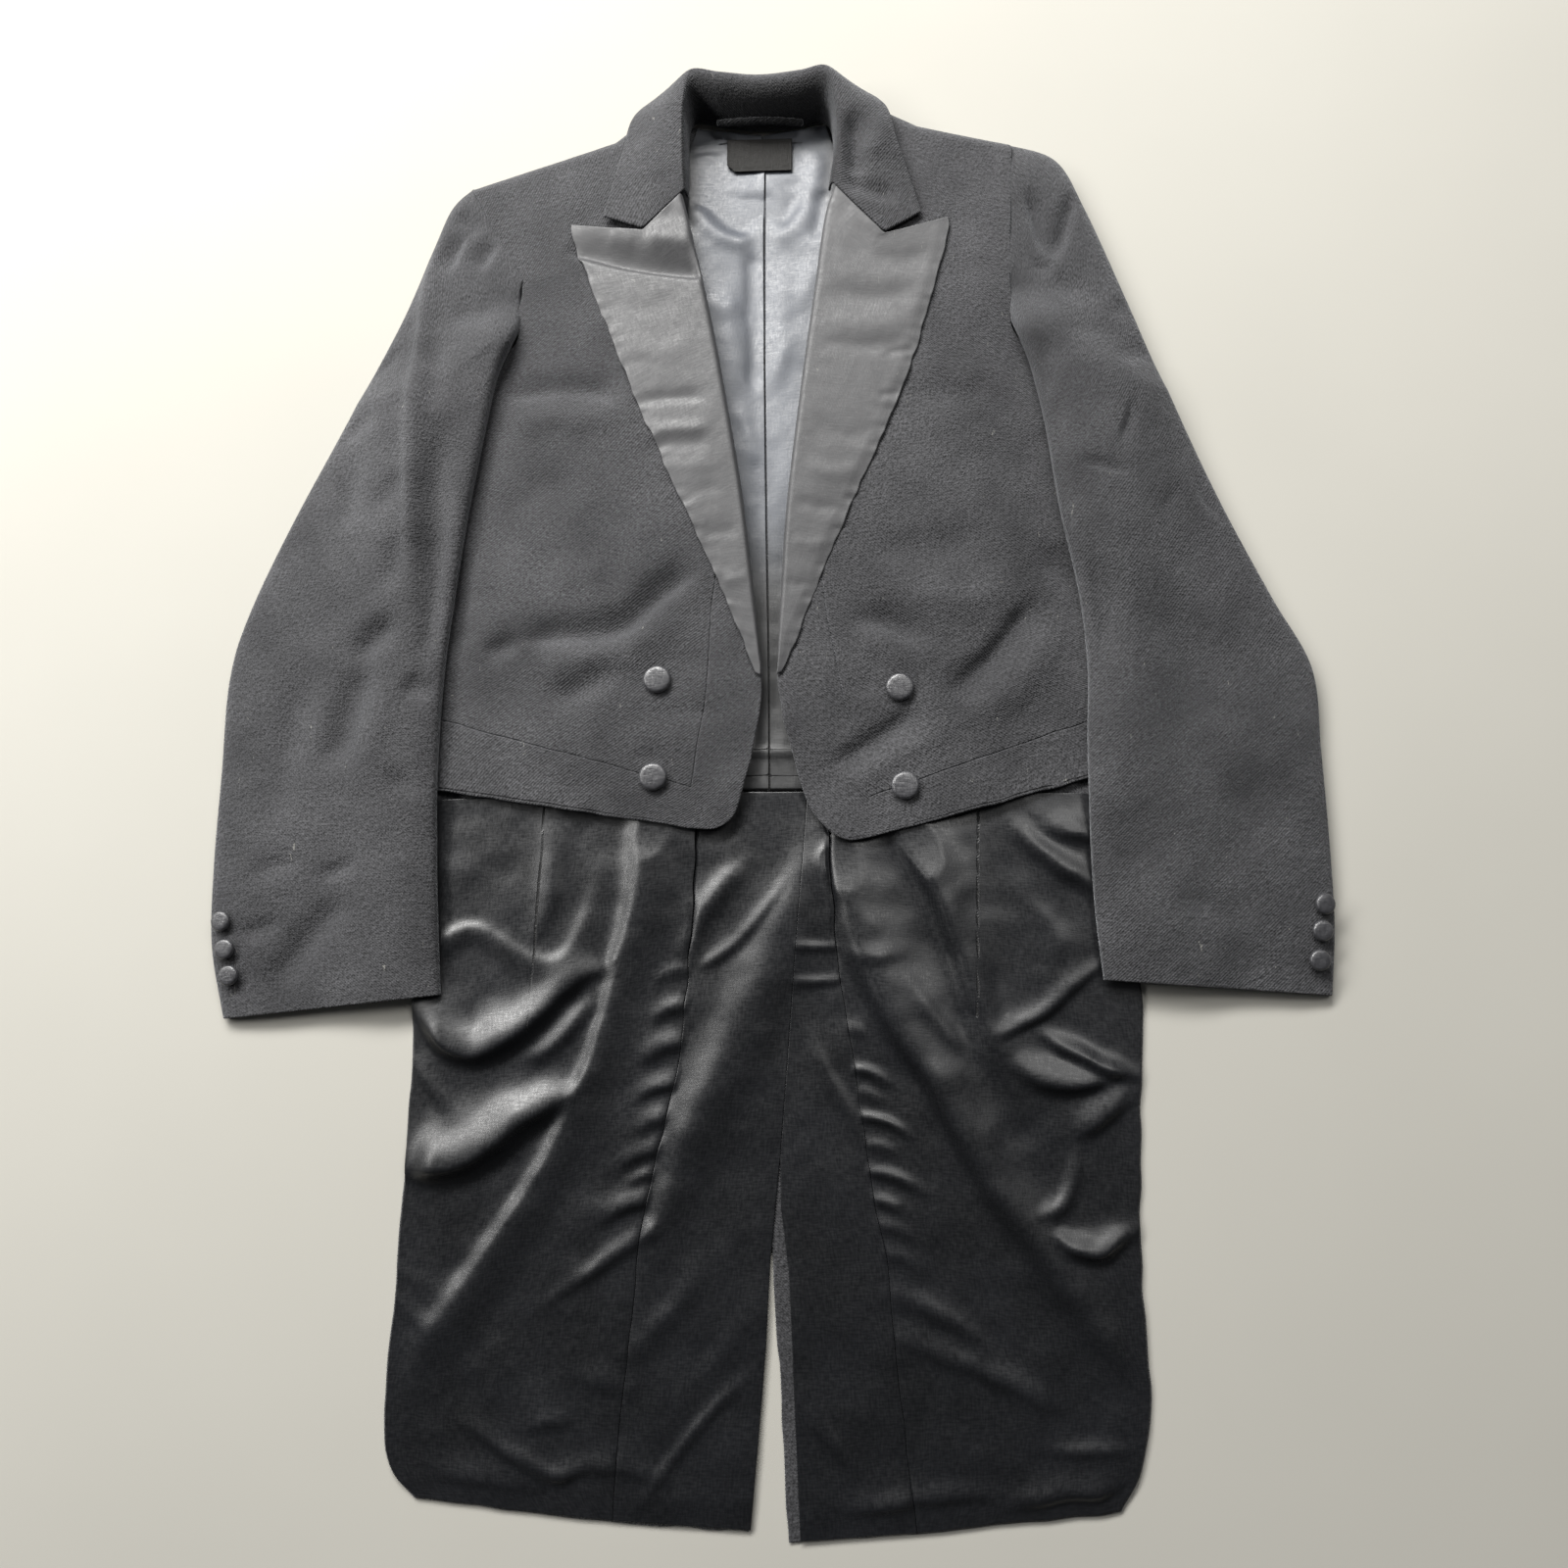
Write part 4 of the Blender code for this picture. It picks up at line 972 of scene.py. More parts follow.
def recalculated(obj: bpy.types.Object) -> bpy.types.Object:
    """The object with its closed shells' faces turned outwards."""
    import bmesh
    bm = bmesh.new()
    bm.from_mesh(obj.data)
    bmesh.ops.recalc_face_normals(bm, faces=bm.faces)
    bm.to_mesh(obj.data)
    bm.free()
    return obj


# ---- The coat's parts


LAPEL_CREASES = {
    Side.LEFT: [
        Roll((RollRow(-42, 355, -6.5, 3, 13), RollRow(-70, 359, -7.5, 3, 14), RollRow(-100, 365, -7.5, 3, 16),
              RollRow(-128, 373, -6.0, 3, 17), RollRow(-145, 379, -2.5, 3, 14), RollRow(-153, 382, 0.0, 3, 12))),
        Crease(((-48, 380), (-66, 384), (-92, 388)), 1.8, 7, 0.0),
        Crease(((-50, 396), (-62, 402), (-76, 410)), -1.3, 6),
        Crease(((-118, 392), (-96, 384)), 0.8, 8),
        Crease(((-104, 254), (-76, 258), (-38, 258)), -1.5, 5, 0.3),
        Crease(((-94, 232), (-70, 234), (-34, 234)), 1.3, 5),
        Crease(((-92, 222), (-64, 222), (-36, 224)), -0.8, 5),
        Crease(((-84, 205), (-58, 205), (-30, 208)), 0.5, 6),
        Crease(((-46, 152), (-16, 156)), -0.6, 5),
        Crease(((-30, 116), (-8, 122)), 0.6, 4),
        Crease(((-130, 335), (-95, 330), (-60, 332)), -0.6, 10),
        Crease(((-112, 302), (-80, 296), (-50, 300)), 0.6, 9),
        Crease(((-70, 186), (-48, 186), (-26, 190)), -0.5, 6),
    ],
    Side.RIGHT: [
        Crease(((44, 342), (80, 334), (122, 342)), -1.3, 9),
        Crease(((42, 318), (78, 312), (118, 318)), 0.9, 9),
        Crease(((38, 300), (72, 296), (112, 300)), -0.7, 6),
        Crease(((90, 290), (114, 294)), -0.9, 3),
        Crease(((84, 257), (106, 261)), -0.8, 3),
        Crease(((58, 380), (96, 364), (134, 370)), -1.3, 10),
        Crease(((62, 404), (78, 396), (96, 384)), 0.9, 6),
        Crease(((34, 236), (62, 228), (92, 232)), -0.7, 7),
        Crease(((28, 205), (54, 198), (76, 204)), 0.7, 6),
        Crease(((22, 178), (44, 172), (64, 174)), -0.6, 5),
        Crease(((20, 148), (34, 144), (50, 146)), 0.5, 5),
        Crease(((16, 118), (26, 114), (38, 116)), -0.5, 4),
    ],
}


FRONT_CREASES = {
    Side.LEFT: [
        Crease(((-200, 268), (-150, 270), (-100, 262)), -4.6, 9, 0.2),
        Crease(((-195, 246), (-150, 246), (-105, 242)), 2.2, 10),
        Crease(((-42, 134), (-75, 110), (-105, 84), (-150, 80), (-186, 78)), -8.0, 10, -0.3, 0.2),
        Crease(((-60, 98), (-95, 66), (-130, 60), (-178, 58)), 3.2, 12, 0.0, 0.3),
        Crease(((-176, 80), (-208, 62)), -4.5, 8, 0.0, 0.4),
        Crease(((-98, 60), (-135, 38), (-165, 28)), -3.6, 10, 0.0, 0.35),
        Crease(((-85, 22), (-60, 20), (-22, 22)), -1.8, 8, 0.0, 0.4),
        Crease(((-92, -6), (-72, -18)), -1.6, 6, 0.0, 0.45),
        Crease(((-235, 150), (-228, 60)), -3.6, 14),
        Crease(((-120, -28), (-60, -44)), 1.2, 9),
        Crease(((-190, 200), (-130, 190)), -2.0, 14, 0.0, 0.4),
        Crease(((-160, 135), (-110, 120)), 1.6, 14, 0.0, 0.4),
    ],
    Side.RIGHT: [
        Crease(((58, 94), (95, 84), (126, 66)), -5.4, 11, 0.2, 0.35),
        Crease(((62, 78), (95, 66), (120, 50)), 2.0, 11, 0.0, 0.35),
        Crease(((205, 112), (165, 60), (128, 28)), -6.2, 11, 0.3, 0.3),
        Crease(((222, 92), (184, 42), (140, 6)), 3.4, 14, 0.0, 0.35),
        Crease(((118, 24), (90, 6), (44, -24)), -4.8, 9, 0.2, 0.3),
        Crease(((134, 10), (100, -10), (58, -38)), 2.4, 11, 0.0, 0.35),
        Crease(((58, 42), (75, 38), (90, 40)), -1.6, 8, 0.0, 0.45),
        Crease(((60, 150), (110, 140), (170, 152)), -2.6, 14, 0.0, 0.4),
        Crease(((90, 255), (150, 262), (190, 255)), -2.0, 12, 0.0, 0.4),
        Crease(((205, 150), (228, 112), (240, 70)), -3.6, 10, 0.0, 0.3),
        Crease(((100, 110), (150, 100), (190, 118)), 2.4, 13, 0.0, 0.4),
    ],
}


@dataclass
class Front:
    """One front of the coat: the forepart and the strap below and in front of it."""

    side: Side
    thickness: float = 1.6
    side_round: float = 10.0
    shoulder_round: float = 14.0
    edge_under_roll: float = 4.2
    dart_share: float = 0.25
    edge_length: float = 40.0
    panel_length: float = 185.0
    spacing: float = 2.5
    corner_round: float = 13.0
    waviness: float = 0.7
    stitch_inset: float = 2.4

    def surface(self) -> tuple[Grid, Grid, Grid]:
        """The front's upper face: straight sections at body height, round at the side and shoulder.

        Returns:
            The row numbers, the across fractions and the points.
        """
        table = FRONTS[self.side]
        last = len(table) - 1
        rows = fine_rows(table, ["edge", "dart", "side"], self.spacing, [0, STRAP_SEAM_ROW, last])
        whole = self.edge_length + self.panel_length
        s = stations(whole, self.spacing, [0, self.edge_length, whole])
        share = np.where(
            s <= self.edge_length,
            self.dart_share * s / self.edge_length,
            self.dart_share + (1 - self.dart_share) * (s - self.edge_length) / self.panel_length,
        )
        col = columns(table, rows)
        edge, dart, fold = pair(col, "edge"), pair(col, "dart"), pair(col, "side")
        plan = spread(edge, dart, fold, share, self.dart_share)
        z = body_height(plan[..., 0], plan[..., 1])
        near = np.linalg.norm(plan - fold[:, None], axis=-1)
        drop = np.sqrt(1 - (1 - np.clip(near / self.side_round, 0, 1)) ** 2)
        wrap = np.clip(col["wrap"], 0, 1)[:, None]
        z *= wrap * drop + (1 - wrap)
        top = np.linalg.norm(plan - plan[-1:], axis=-1)
        at_shoulder = (rows > last - 1)[:, None]
        falling = np.sqrt(1 - (1 - np.clip(top / self.shoulder_round, 0, 1)) ** 2)
        z *= np.where(at_shoulder, falling, 1.0)
        under = self.side.sign * self.edge_under_roll * np.clip(rows - LAPEL_START_ROW, 0, 1)[:, None]
        plan[..., 0] += under * np.clip(1 - share / self.dart_share, 0, 1)[None]
        inside = smoothstep(near / 22) * smoothstep(top / 25)
        x, y = plan[..., 0], plan[..., 1]
        z += inside * crease_field(FRONT_CREASES[self.side] + LAPEL_CREASES[self.side], x, y)
        z += inside * (1.2 * lattice_noise(x, y, 40, 3) + 0.4 * lattice_noise(x, y, 15, 4))
        below = smoothstep((60 - y) / 20)
        to_hem = np.linalg.norm(plan - plan[:1], axis=-1)
        z += 0.5 * below * lattice_noise(x, y, 11, 5) * np.exp(-to_hem / 5)
        plan = round_corner(plan, self.corner_round)
        loose = smoothstep((300 - plan[..., 1:]) / 40)
        plan = plan + loose * (hand_drawn(plan, 14.0, self.waviness, 63) - plan)
        return rows, share, np.dstack([plan, z])

    def build(self) -> None:
        """Build the forepart and the strap, parted along the dart and the strap seam."""
        rows, share, top = self.surface()
        seam = int(np.searchsorted(rows, STRAP_SEAM_ROW - 1e-6))
        dart_top = int(np.searchsorted(rows, DART_TOP_ROW))
        dart = int(np.searchsorted(share, self.dart_share - 1e-6))
        strap = np.zeros((top.shape[0] - 1, top.shape[1] - 1), bool)
        strap[:seam] = True
        strap[:dart_top, :dart] = True
        name = self.side.value
        step = top[6, ::8, :2] - top[0, ::8, :2]
        stitches = top[0, ::8, :2] + step * (self.stitch_inset / np.linalg.norm(step, axis=-1, keepdims=True))
        piece = cloth_shell(f"front_strap_cloth_{name}", top, self.thickness, strap, floor=0.1,
                            seams=[tuple(map(tuple, stitches[1:]))])
        finish_cloth(piece, WOOL, [f"front_strap_{name}"])
        piece = cloth_shell(f"forepart_cloth_{name}", top, self.thickness, ~strap, floor=0.1)
        finish_cloth(piece, WOOL, [f"forepart_{name}"])


@dataclass
class Lapel:
    """The satin face of one lapel, rolled over the front edge and laid on the forepart."""

    side: Side
    thickness: float = 1.3
    roll_round: float = 4.0
    roll_drop: float = 5.0
    lift: float = 2.8
    roll_height: float = 5.0
    mid_share: float = 0.35
    spacing: float = 2.0
    pucker: float = 0.6
    pucker_length: float = 5.0

    def build(self) -> None:
        """Build the lapel's shell: body height plus a lift, quarter-round down at the roll line."""
        table = LAPELS[self.side]
        rows = fine_rows(table, ["roll", "mid", "edge"], self.spacing, [0, len(table) - 1])
        col = columns(table, rows)
        roll, mid, edge = pair(col, "roll"), pair(col, "mid"), pair(col, "edge")
        s = stations(90.0, self.spacing, [0, 90.0]) / 90.0
        plan = spread(roll, mid, edge, s, self.mid_share)
        width = np.linalg.norm(mid - roll, axis=-1)[:, None]
        from_roll = np.clip(s / self.mid_share, 0, 1)[None] * width
        round_at = np.minimum(self.roll_round, 0.45 * width)
        drop = np.sqrt(1 - (1 - np.clip(from_roll / np.maximum(round_at, 1e-6), 0, 1)) ** 2)
        fall = self.roll_drop * np.minimum(1, width / 12)
        from_edge = np.linalg.norm(plan - edge[:, None], axis=-1)
        x, y = plan[..., 0], plan[..., 1]
        proud = self.roll_height * np.minimum(1, width / 40)
        z = body_height(x, y) + self.lift - (fall + proud) * (1 - drop) + proud * (1 - s[None])
        z -= 0.9 * (1 - smoothstep(from_edge / 10))
        inside = smoothstep(from_roll / 6)
        z += inside * crease_field(LAPEL_CREASES[self.side], x, y)
        z += inside * (0.28 * lattice_noise(x, y, 24, 7) + 0.12 * lattice_noise(x, y, 8, 8))
        run = np.concatenate([[0], np.cumsum(np.linalg.norm(np.diff(edge, axis=0), axis=1))])[:, None]
        run = np.broadcast_to(run, x.shape)
        wave = lattice_noise(run, 0 * run, self.pucker_length, 9)
        z += self.pucker * wave * np.exp(-from_edge / 6) * smoothstep(run / 30)
        name = self.side.value
        out = smoothstep(1 - from_edge / 12)[..., None]
        plan = plan + out * (hand_drawn(plan, 8.0, 0.9, 65) - plan)
        top = np.dstack([plan, z])
        piece = cloth_shell(f"lapel_face_{name}", top, self.thickness)
        finish_cloth(piece, LAPEL_SATIN, [f"lapel_{name}"])


COLLAR_CREASES = [
    Crease(((66, 424), (70, 448), (66, 486)), -6.4, 10, 0.0, 0.3),
    Crease(((56, 430), (80, 422), (104, 412)), -4.6, 6, 0.0, 0.3),
    Crease(((76, 440), (90, 466), (84, 488)), 2.4, 8, 0.0, 0.35),
    Crease(((-80, 430), (-92, 470)), 1.2, 9),
    Crease(((88, 500), (100, 468), (100, 440)), 1.6, 8),
]


@dataclass
class Collar:
    """The collar: a stand up from the neck seam, its roll, and the leaf laid over the shoulders."""

    thickness: float = 2.0
    spacing: float = 2.0
    stand_length: float = 32.0
    leaf_length: float = 50.0

    def build(self) -> None:
        """Build the collar's shell from its sections.

        The stand moves out with t^2 and up with sin(t pi / 2); the leaf falls with t^1.6.
        """
        rows = fine_rows(COLLAR, ["in", "roll", "leaf"], self.spacing, [0, len(COLLAR) - 1])
        col = columns(COLLAR, rows)
        whole = self.stand_length + self.leaf_length
        s = stations(whole, self.spacing, [0, whole])
        t = np.clip(s / self.stand_length, 0, 1)[None, :, None]
        u = np.clip((s - self.stand_length) / self.leaf_length, 0, 1)
        seam = np.stack([col["in_x"], col["in_y"], col["in_z"]], -1)[:, None]
        roll = np.stack([col["roll_x"], col["roll_y"], col["roll_z"]], -1)[:, None]
        stand_plan = seam[..., :2] + (roll - seam)[..., :2] * t**2
        stand_z = seam[..., 2] + (roll - seam)[..., 2] * np.sin(t[..., 0] * math.pi / 2)
        leaf_plan = spread(roll[:, 0, :2], pair(col, "mid"), pair(col, "leaf"), u, 0.5)
        fall = u[None] ** 1.6
        leaf_z = roll[:, :, 2] + (col["leaf_z"][:, None] - roll[:, :, 2]) * fall
        on_leaf = (s > self.stand_length)[None, :]
        plan = np.where(on_leaf[..., None], leaf_plan, stand_plan)
        z = np.where(on_leaf, leaf_z, stand_z)
        x, y = plan[..., 0], plan[..., 1]
        leaf_part = smoothstep(u * 4)[None]
        z = z + leaf_part * (crease_field(COLLAR_CREASES, x, y) + 0.3 * lattice_noise(x, y, 22, 11))
        top = np.dstack([plan, z])
        # Painted shadow: the collar's colour is darkened over the stand, fading out at the roll.
        painted_shade = 0.72 * (1 - smoothstep((s - self.stand_length + 7) / 8))[None] * np.ones_like(x)
        piece = cloth_shell("collar_cloth", top, self.thickness, floor=0.3, painted_shade=painted_shade)
        finish_cloth(piece, WOOL, ["collar"])


TAIL_ROLLS = [
    # left tail: the long ridge from the front hem to the outer edge
    Roll((RollRow(-82, -46, 5, 22, 11), RollRow(-84, -80, 7.5, 24, 12), RollRow(-88, -110, 7.2, 24, 11),
          RollRow(-95, -140, 6.2, 20, 9.5), RollRow(-103, -172, 5.2, 16, 8), RollRow(-111, -204, 4.6, 14, 7.2),
          RollRow(-122, -236, 4.4, 14, 7), RollRow(-136, -268, 4.4, 14, 7), RollRow(-153, -302, 4.6, 15, 7.2),
          RollRow(-173, -334, 4.8, 16, 8), RollRow(-196, -368, 5.0, 17, 9.5), RollRow(-220, -402, 4.5, 16, 11),
          RollRow(-238, -430, 1.0, 14, 12))),
    # the second ridge, from the middle seam to the pleat seam
    Roll((RollRow(40, -66, 1, 16, 14), RollRow(27, -104, 5, 20, 16), RollRow(4, -160, 7, 22, 19),
          RollRow(-17, -205, 7.5, 22, 20), RollRow(-33, -240, 7, 22, 18), RollRow(-46, -268, 6.5, 20, 16),
          RollRow(-56, -296, 5.5, 18, 13), RollRow(-64, -322, 4, 16, 11), RollRow(-74, -350, 1, 14, 9))),
    Roll((RollRow(-10, -86, 1, 7, 7), RollRow(-26, -102, 4, 8, 9), RollRow(-42, -124, 4, 8, 9),
          RollRow(-52, -148, 1.5, 8, 9))),
    Roll((RollRow(14, -104, 0.5, 3, 5), RollRow(-14, -140, 1.8, 3, 6), RollRow(-34, -156, 2.0, 3, 6),
          RollRow(-44, -160, 0.3, 3, 5))),
    # creases of the left tail's outer panel, from the top down
    Roll((RollRow(-246, -150, 1.5, 6, 10), RollRow(-222, -139, 2.6, 6, 10), RollRow(-207, -134, 2.9, 6, 10),
          RollRow(-188, -143, 2.5, 6, 9), RollRow(-164, -157, 2.7, 7, 12), RollRow(-144, -158, 2.7, 7, 14),
          RollRow(-130, -142, 2.8, 7, 14), RollRow(-119, -112, 2.2, 8, 12), RollRow(-112, -88, 0.5, 8, 10))),
    Roll((RollRow(-150, -56, 1.0, 14, 9), RollRow(-150, -84, 3.0, 7, 12), RollRow(-150, -112, 3.4, 6, 12),
          RollRow(-158, -134, 1.0, 6, 10))),
    Roll((RollRow(-250, -184, 7, 20, 6), RollRow(-232, -206, 9, 21, 6), RollRow(-217, -217, 9.5, 21, 6),
          RollRow(-200, -221, 9.5, 21, 6), RollRow(-181, -213, 9.5, 20, 6), RollRow(-166, -203, 9, 18, 6),
          RollRow(-152, -189, 8, 16, 6), RollRow(-138, -175, 7, 14, 6), RollRow(-126, -166, 5, 11, 6),
          RollRow(-110, -160, 1, 10, 5))),
    Roll((RollRow(-166, -226, 0.5, 7, 6), RollRow(-148, -217, 3.0, 8, 5), RollRow(-132, -200, 3.4, 8, 5),
          RollRow(-122, -188, 1.5, 7, 5))),
    Roll((RollRow(-252, -222, 3, 6, 5), RollRow(-240, -232, 3.5, 6, 5), RollRow(-228, -248, 2.5, 6, 5),
          RollRow(-220, -262, 0.5, 6, 5))),
    Roll((RollRow(-254, -297, 9, 24, 7), RollRow(-236, -298, 11.5, 25, 7), RollRow(-218, -297, 12, 25, 7),
          RollRow(-200, -291, 12, 24, 7), RollRow(-184, -281, 12, 22, 7), RollRow(-167, -267, 11, 20, 7),
          RollRow(-151, -257, 9, 17, 7), RollRow(-136, -248, 5, 13, 7), RollRow(-126, -242, 1, 10, 6))),
    Roll((RollRow(-74, -338, 2.5, 5, 7), RollRow(-96, -352, 3.2, 5, 8), RollRow(-118, -368, 2.6, 4, 7),
          RollRow(-146, -386, 0.5, 4, 6))),
    Roll((RollRow(-40, -360, 0.5, 8, 8), RollRow(-54, -384, 2.4, 9, 8), RollRow(-70, -400, 2.4, 9, 8),
          RollRow(-90, -420, 0.6, 8, 8))),
    Roll((RollRow(-8, -392, 0.5, 7, 7), RollRow(-26, -416, 1.6, 8, 7), RollRow(-42, -436, 0.5, 8, 7))),
    Roll((RollRow(-8, -430, 0.5, 4, 4), RollRow(-34, -454, 2.0, 4, 4), RollRow(-56, -480, 2.0, 4, 4),
          RollRow(-82, -516, 0.5, 4, 4))),
    Roll((RollRow(-202, -460, 0.5, 7, 4), RollRow(-176, -476, 2.2, 7, 4), RollRow(-152, -488, 2.2, 6, 4),
          RollRow(-130, -495, 0.5, 5, 4))),
    Roll((RollRow(-158, -466, 0.5, 6, 4), RollRow(-142, -461, 1.6, 6, 4), RollRow(-124, -460, 0.4, 6, 4))),
    Roll((RollRow(-146, -494, 1.0, 8, 4), RollRow(-132, -494, 3.0, 8, 4), RollRow(-112, -489, 2.0, 8, 4),
          RollRow(-90, -490, 1.6, 8, 4), RollRow(-60, -496, 0.5, 6, 4))),
    Roll((RollRow(-216, -492, 0.5, 10, 5), RollRow(-196, -496, 2.0, 12, 5), RollRow(-172, -498, 1.4, 10, 5),
          RollRow(-150, -502, 0.5, 7, 5))),
    Roll((RollRow(-122, -432, 0.5, 8, 6), RollRow(-106, -436, 1.6, 9, 6), RollRow(-90, -438, 0.6, 8, 6))),
    Roll((RollRow(-250, -366, 1.6, 5, 4), RollRow(-238, -372, 0.8, 5, 4), RollRow(-228, -376, 0.2, 5, 4))),
    Roll((RollRow(-250, -386, 2.0, 6, 4), RollRow(-236, -396, 1.2, 6, 4), RollRow(-224, -404, 0.3, 6, 4))),
    # right tail: the two long ridges from the front hem
    Roll((RollRow(96, -50, 4, 22, 9), RollRow(104, -72, 8.5, 23, 7), RollRow(115, -92, 10.5, 23, 7),
          RollRow(127, -118, 9.5, 20, 7), RollRow(139, -150, 8.5, 17, 7), RollRow(149, -186, 7.5, 15, 7),
          RollRow(162, -222, 5, 14, 8), RollRow(178, -252, 1.0, 12, 9))),
    Roll((RollRow(52, -84, 6, 24, 10), RollRow(57, -104, 9, 26, 10), RollRow(64, -130, 10.5, 27, 11),
          RollRow(73, -158, 11, 28, 11), RollRow(86, -186, 11, 28, 9), RollRow(99, -210, 11.5, 28, 8),
          RollRow(117, -236, 11.5, 27, 7), RollRow(134, -268, 10.5, 24, 7), RollRow(156, -306, 9.5, 20, 8),
          RollRow(183, -342, 8, 16, 9), RollRow(206, -374, 6.5, 14, 10), RollRow(228, -404, 4.5, 12, 11),
          RollRow(252, -428, 1.0, 10, 11))),
    # creases of the right tail's outer panel, from the top down
    Roll((RollRow(176, -58, 0.5, 8, 5), RollRow(190, -74, 3.5, 9, 5), RollRow(206, -88, 4.2, 10, 5),
          RollRow(224, -100, 4.2, 10, 5), RollRow(244, -112, 1.5, 9, 5))),
    Roll((RollRow(200, -58, 1, 10, 5), RollRow(216, -66, 4.5, 12, 5), RollRow(236, -70, 3.5, 12, 5))),
    Roll((RollRow(162, -208, 0.5, 6, 3), RollRow(180, -200, 3.0, 8, 3), RollRow(198, -190, 3.4, 8, 3),
          RollRow(218, -172, 2.8, 7, 3), RollRow(238, -158, 0.8, 6, 3))),
    Roll((RollRow(172, -224, 1.0, 12, 5), RollRow(188, -236, 6, 16, 5), RollRow(206, -241, 7.5, 17, 5),
          RollRow(224, -239, 6, 14, 4), RollRow(236, -236, 1.5, 9, 4))),
    Roll((RollRow(194, -206, 0.8, 6, 3), RollRow(208, -216, 5.0, 8, 3), RollRow(224, -224, 5.6, 8, 3),
          RollRow(242, -231, 5.0, 8, 4), RollRow(266, -236, 3.0, 7, 4))),
    Roll((RollRow(212, -274, 0.6, 10, 5), RollRow(226, -268, 4.5, 12, 5), RollRow(238, -258, 4.8, 12, 5),
          RollRow(256, -248, 2.5, 10, 5))),
    Roll((RollRow(186, -326, 0.5, 5, 5), RollRow(200, -322, 3.6, 6, 5), RollRow(210, -308, 3.2, 6, 5),
          RollRow(216, -282, 0.6, 5, 5))),
    Roll((RollRow(196, -336, 0.8, 7, 4), RollRow(210, -347, 6.0, 10, 4), RollRow(226, -351, 7.0, 11, 4),
          RollRow(240, -343, 6.0, 10, 4), RollRow(260, -334, 3.5, 8, 4))),
    Roll((RollRow(90, -378, 0.8, 7, 6), RollRow(112, -386, 2.8, 8, 6), RollRow(134, -398, 2.4, 7, 6),
          RollRow(158, -416, 0.5, 6, 6))),
    Roll((RollRow(94, -408, 0.8, 8, 6), RollRow(126, -418, 2.8, 10, 6), RollRow(164, -432, 3.2, 10, 6),
          RollRow(194, -448, 0.8, 8, 6))),
    Roll((RollRow(182, -474, 0.5, 6, 4), RollRow(214, -474, 1.8, 6, 4), RollRow(246, -472, 0.6, 6, 4))),
    Roll((RollRow(158, -514, 0.5, 9, 4), RollRow(174, -508, 3.0, 10, 4), RollRow(196, -502, 3.4, 12, 4),
          RollRow(218, -500, 3.4, 12, 4), RollRow(234, -496, 1.0, 9, 4))),
    Roll((RollRow(58, -512, 0.5, 7, 4), RollRow(80, -510, 2.4, 8, 4), RollRow(104, -505, 2.2, 8, 4),
          RollRow(132, -502, 2.0, 8, 4), RollRow(152, -502, 0.5, 7, 4))),
    Roll((RollRow(34, -454, 0.5, 6, 5), RollRow(48, -472, 2.2, 6, 5), RollRow(62, -490, 0.6, 6, 5))),
    Roll((RollRow(30, -204, 0.5, 6, 5), RollRow(44, -232, 2.4, 6, 5), RollRow(58, -256, 2.4, 6, 5),
          RollRow(68, -276, 0.6, 6, 5))),
    Roll((RollRow(26, -147, 1.5, 4, 2.5), RollRow(38, -147, 1.9, 4, 2.5), RollRow(50, -147, 1.5, 4, 2.5))),
    Roll((RollRow(26, -171, 1.5, 4, 2.5), RollRow(38, -171, 2.0, 4, 2.5), RollRow(52, -170, 1.5, 4, 2.5))),
    Roll((RollRow(104, -172, 0.4, 6, 6), RollRow(116, -190, 2.0, 6, 6), RollRow(130, -206, 2.0, 6, 6),
          RollRow(142, -220, 0.4, 6, 6))),
    Roll((RollRow(60, -150, 0.6, 6, 5), RollRow(80, -154, 1.6, 6, 5), RollRow(96, -150, 0.5, 6, 5))),
    Roll((RollRow(178, -112, 0.3, 8, 7), RollRow(196, -122, 1.4, 8, 7), RollRow(206, -142, 1.4, 8, 7),
          RollRow(200, -160, 0.3, 8, 7))),
]

# Darts sewn in the outer panels, from the waist down
TAIL_DARTS = [
    ((-158, -38), (-158, -54), (-161, -130), (-164, -206)),
    ((155, -38), (154, -54), (151, -130), (149, -194)),
]

# Puckers beside the pleat seams: where along the seam, reach, height, and width up and down the seam
SEAM_PUCKERS = {
    Side.LEFT: [(-162, 26, 1.5, 5, 4), (-188, 24, 3.0, 7, 4), (-213, 30, 3.4, 9, 5), (-241, 28, 3.4, 9, 4),
                (-264, 22, 2.4, 7, 4), (-286, 28, 3.0, 9, 4), (-302, 18, 1.8, 5, 3), (-320, 34, 3.8, 10, 4)],
    Side.RIGHT: [(-202, 14, 1.5, 5, 4), (-231, 26, 3.2, 5, 3), (-246, 18, 1.4, 4, 4), (-262, 34, 3.2, 4, 3),
                 (-280, 22, 1.5, 4, 4), (-299, 40, 3.0, 5, 3), (-317, 20, 2.6, 5, 3), (-334, 26, 1.6, 6, 4),
                 (-352, 30, 1.6, 6, 4)],
}


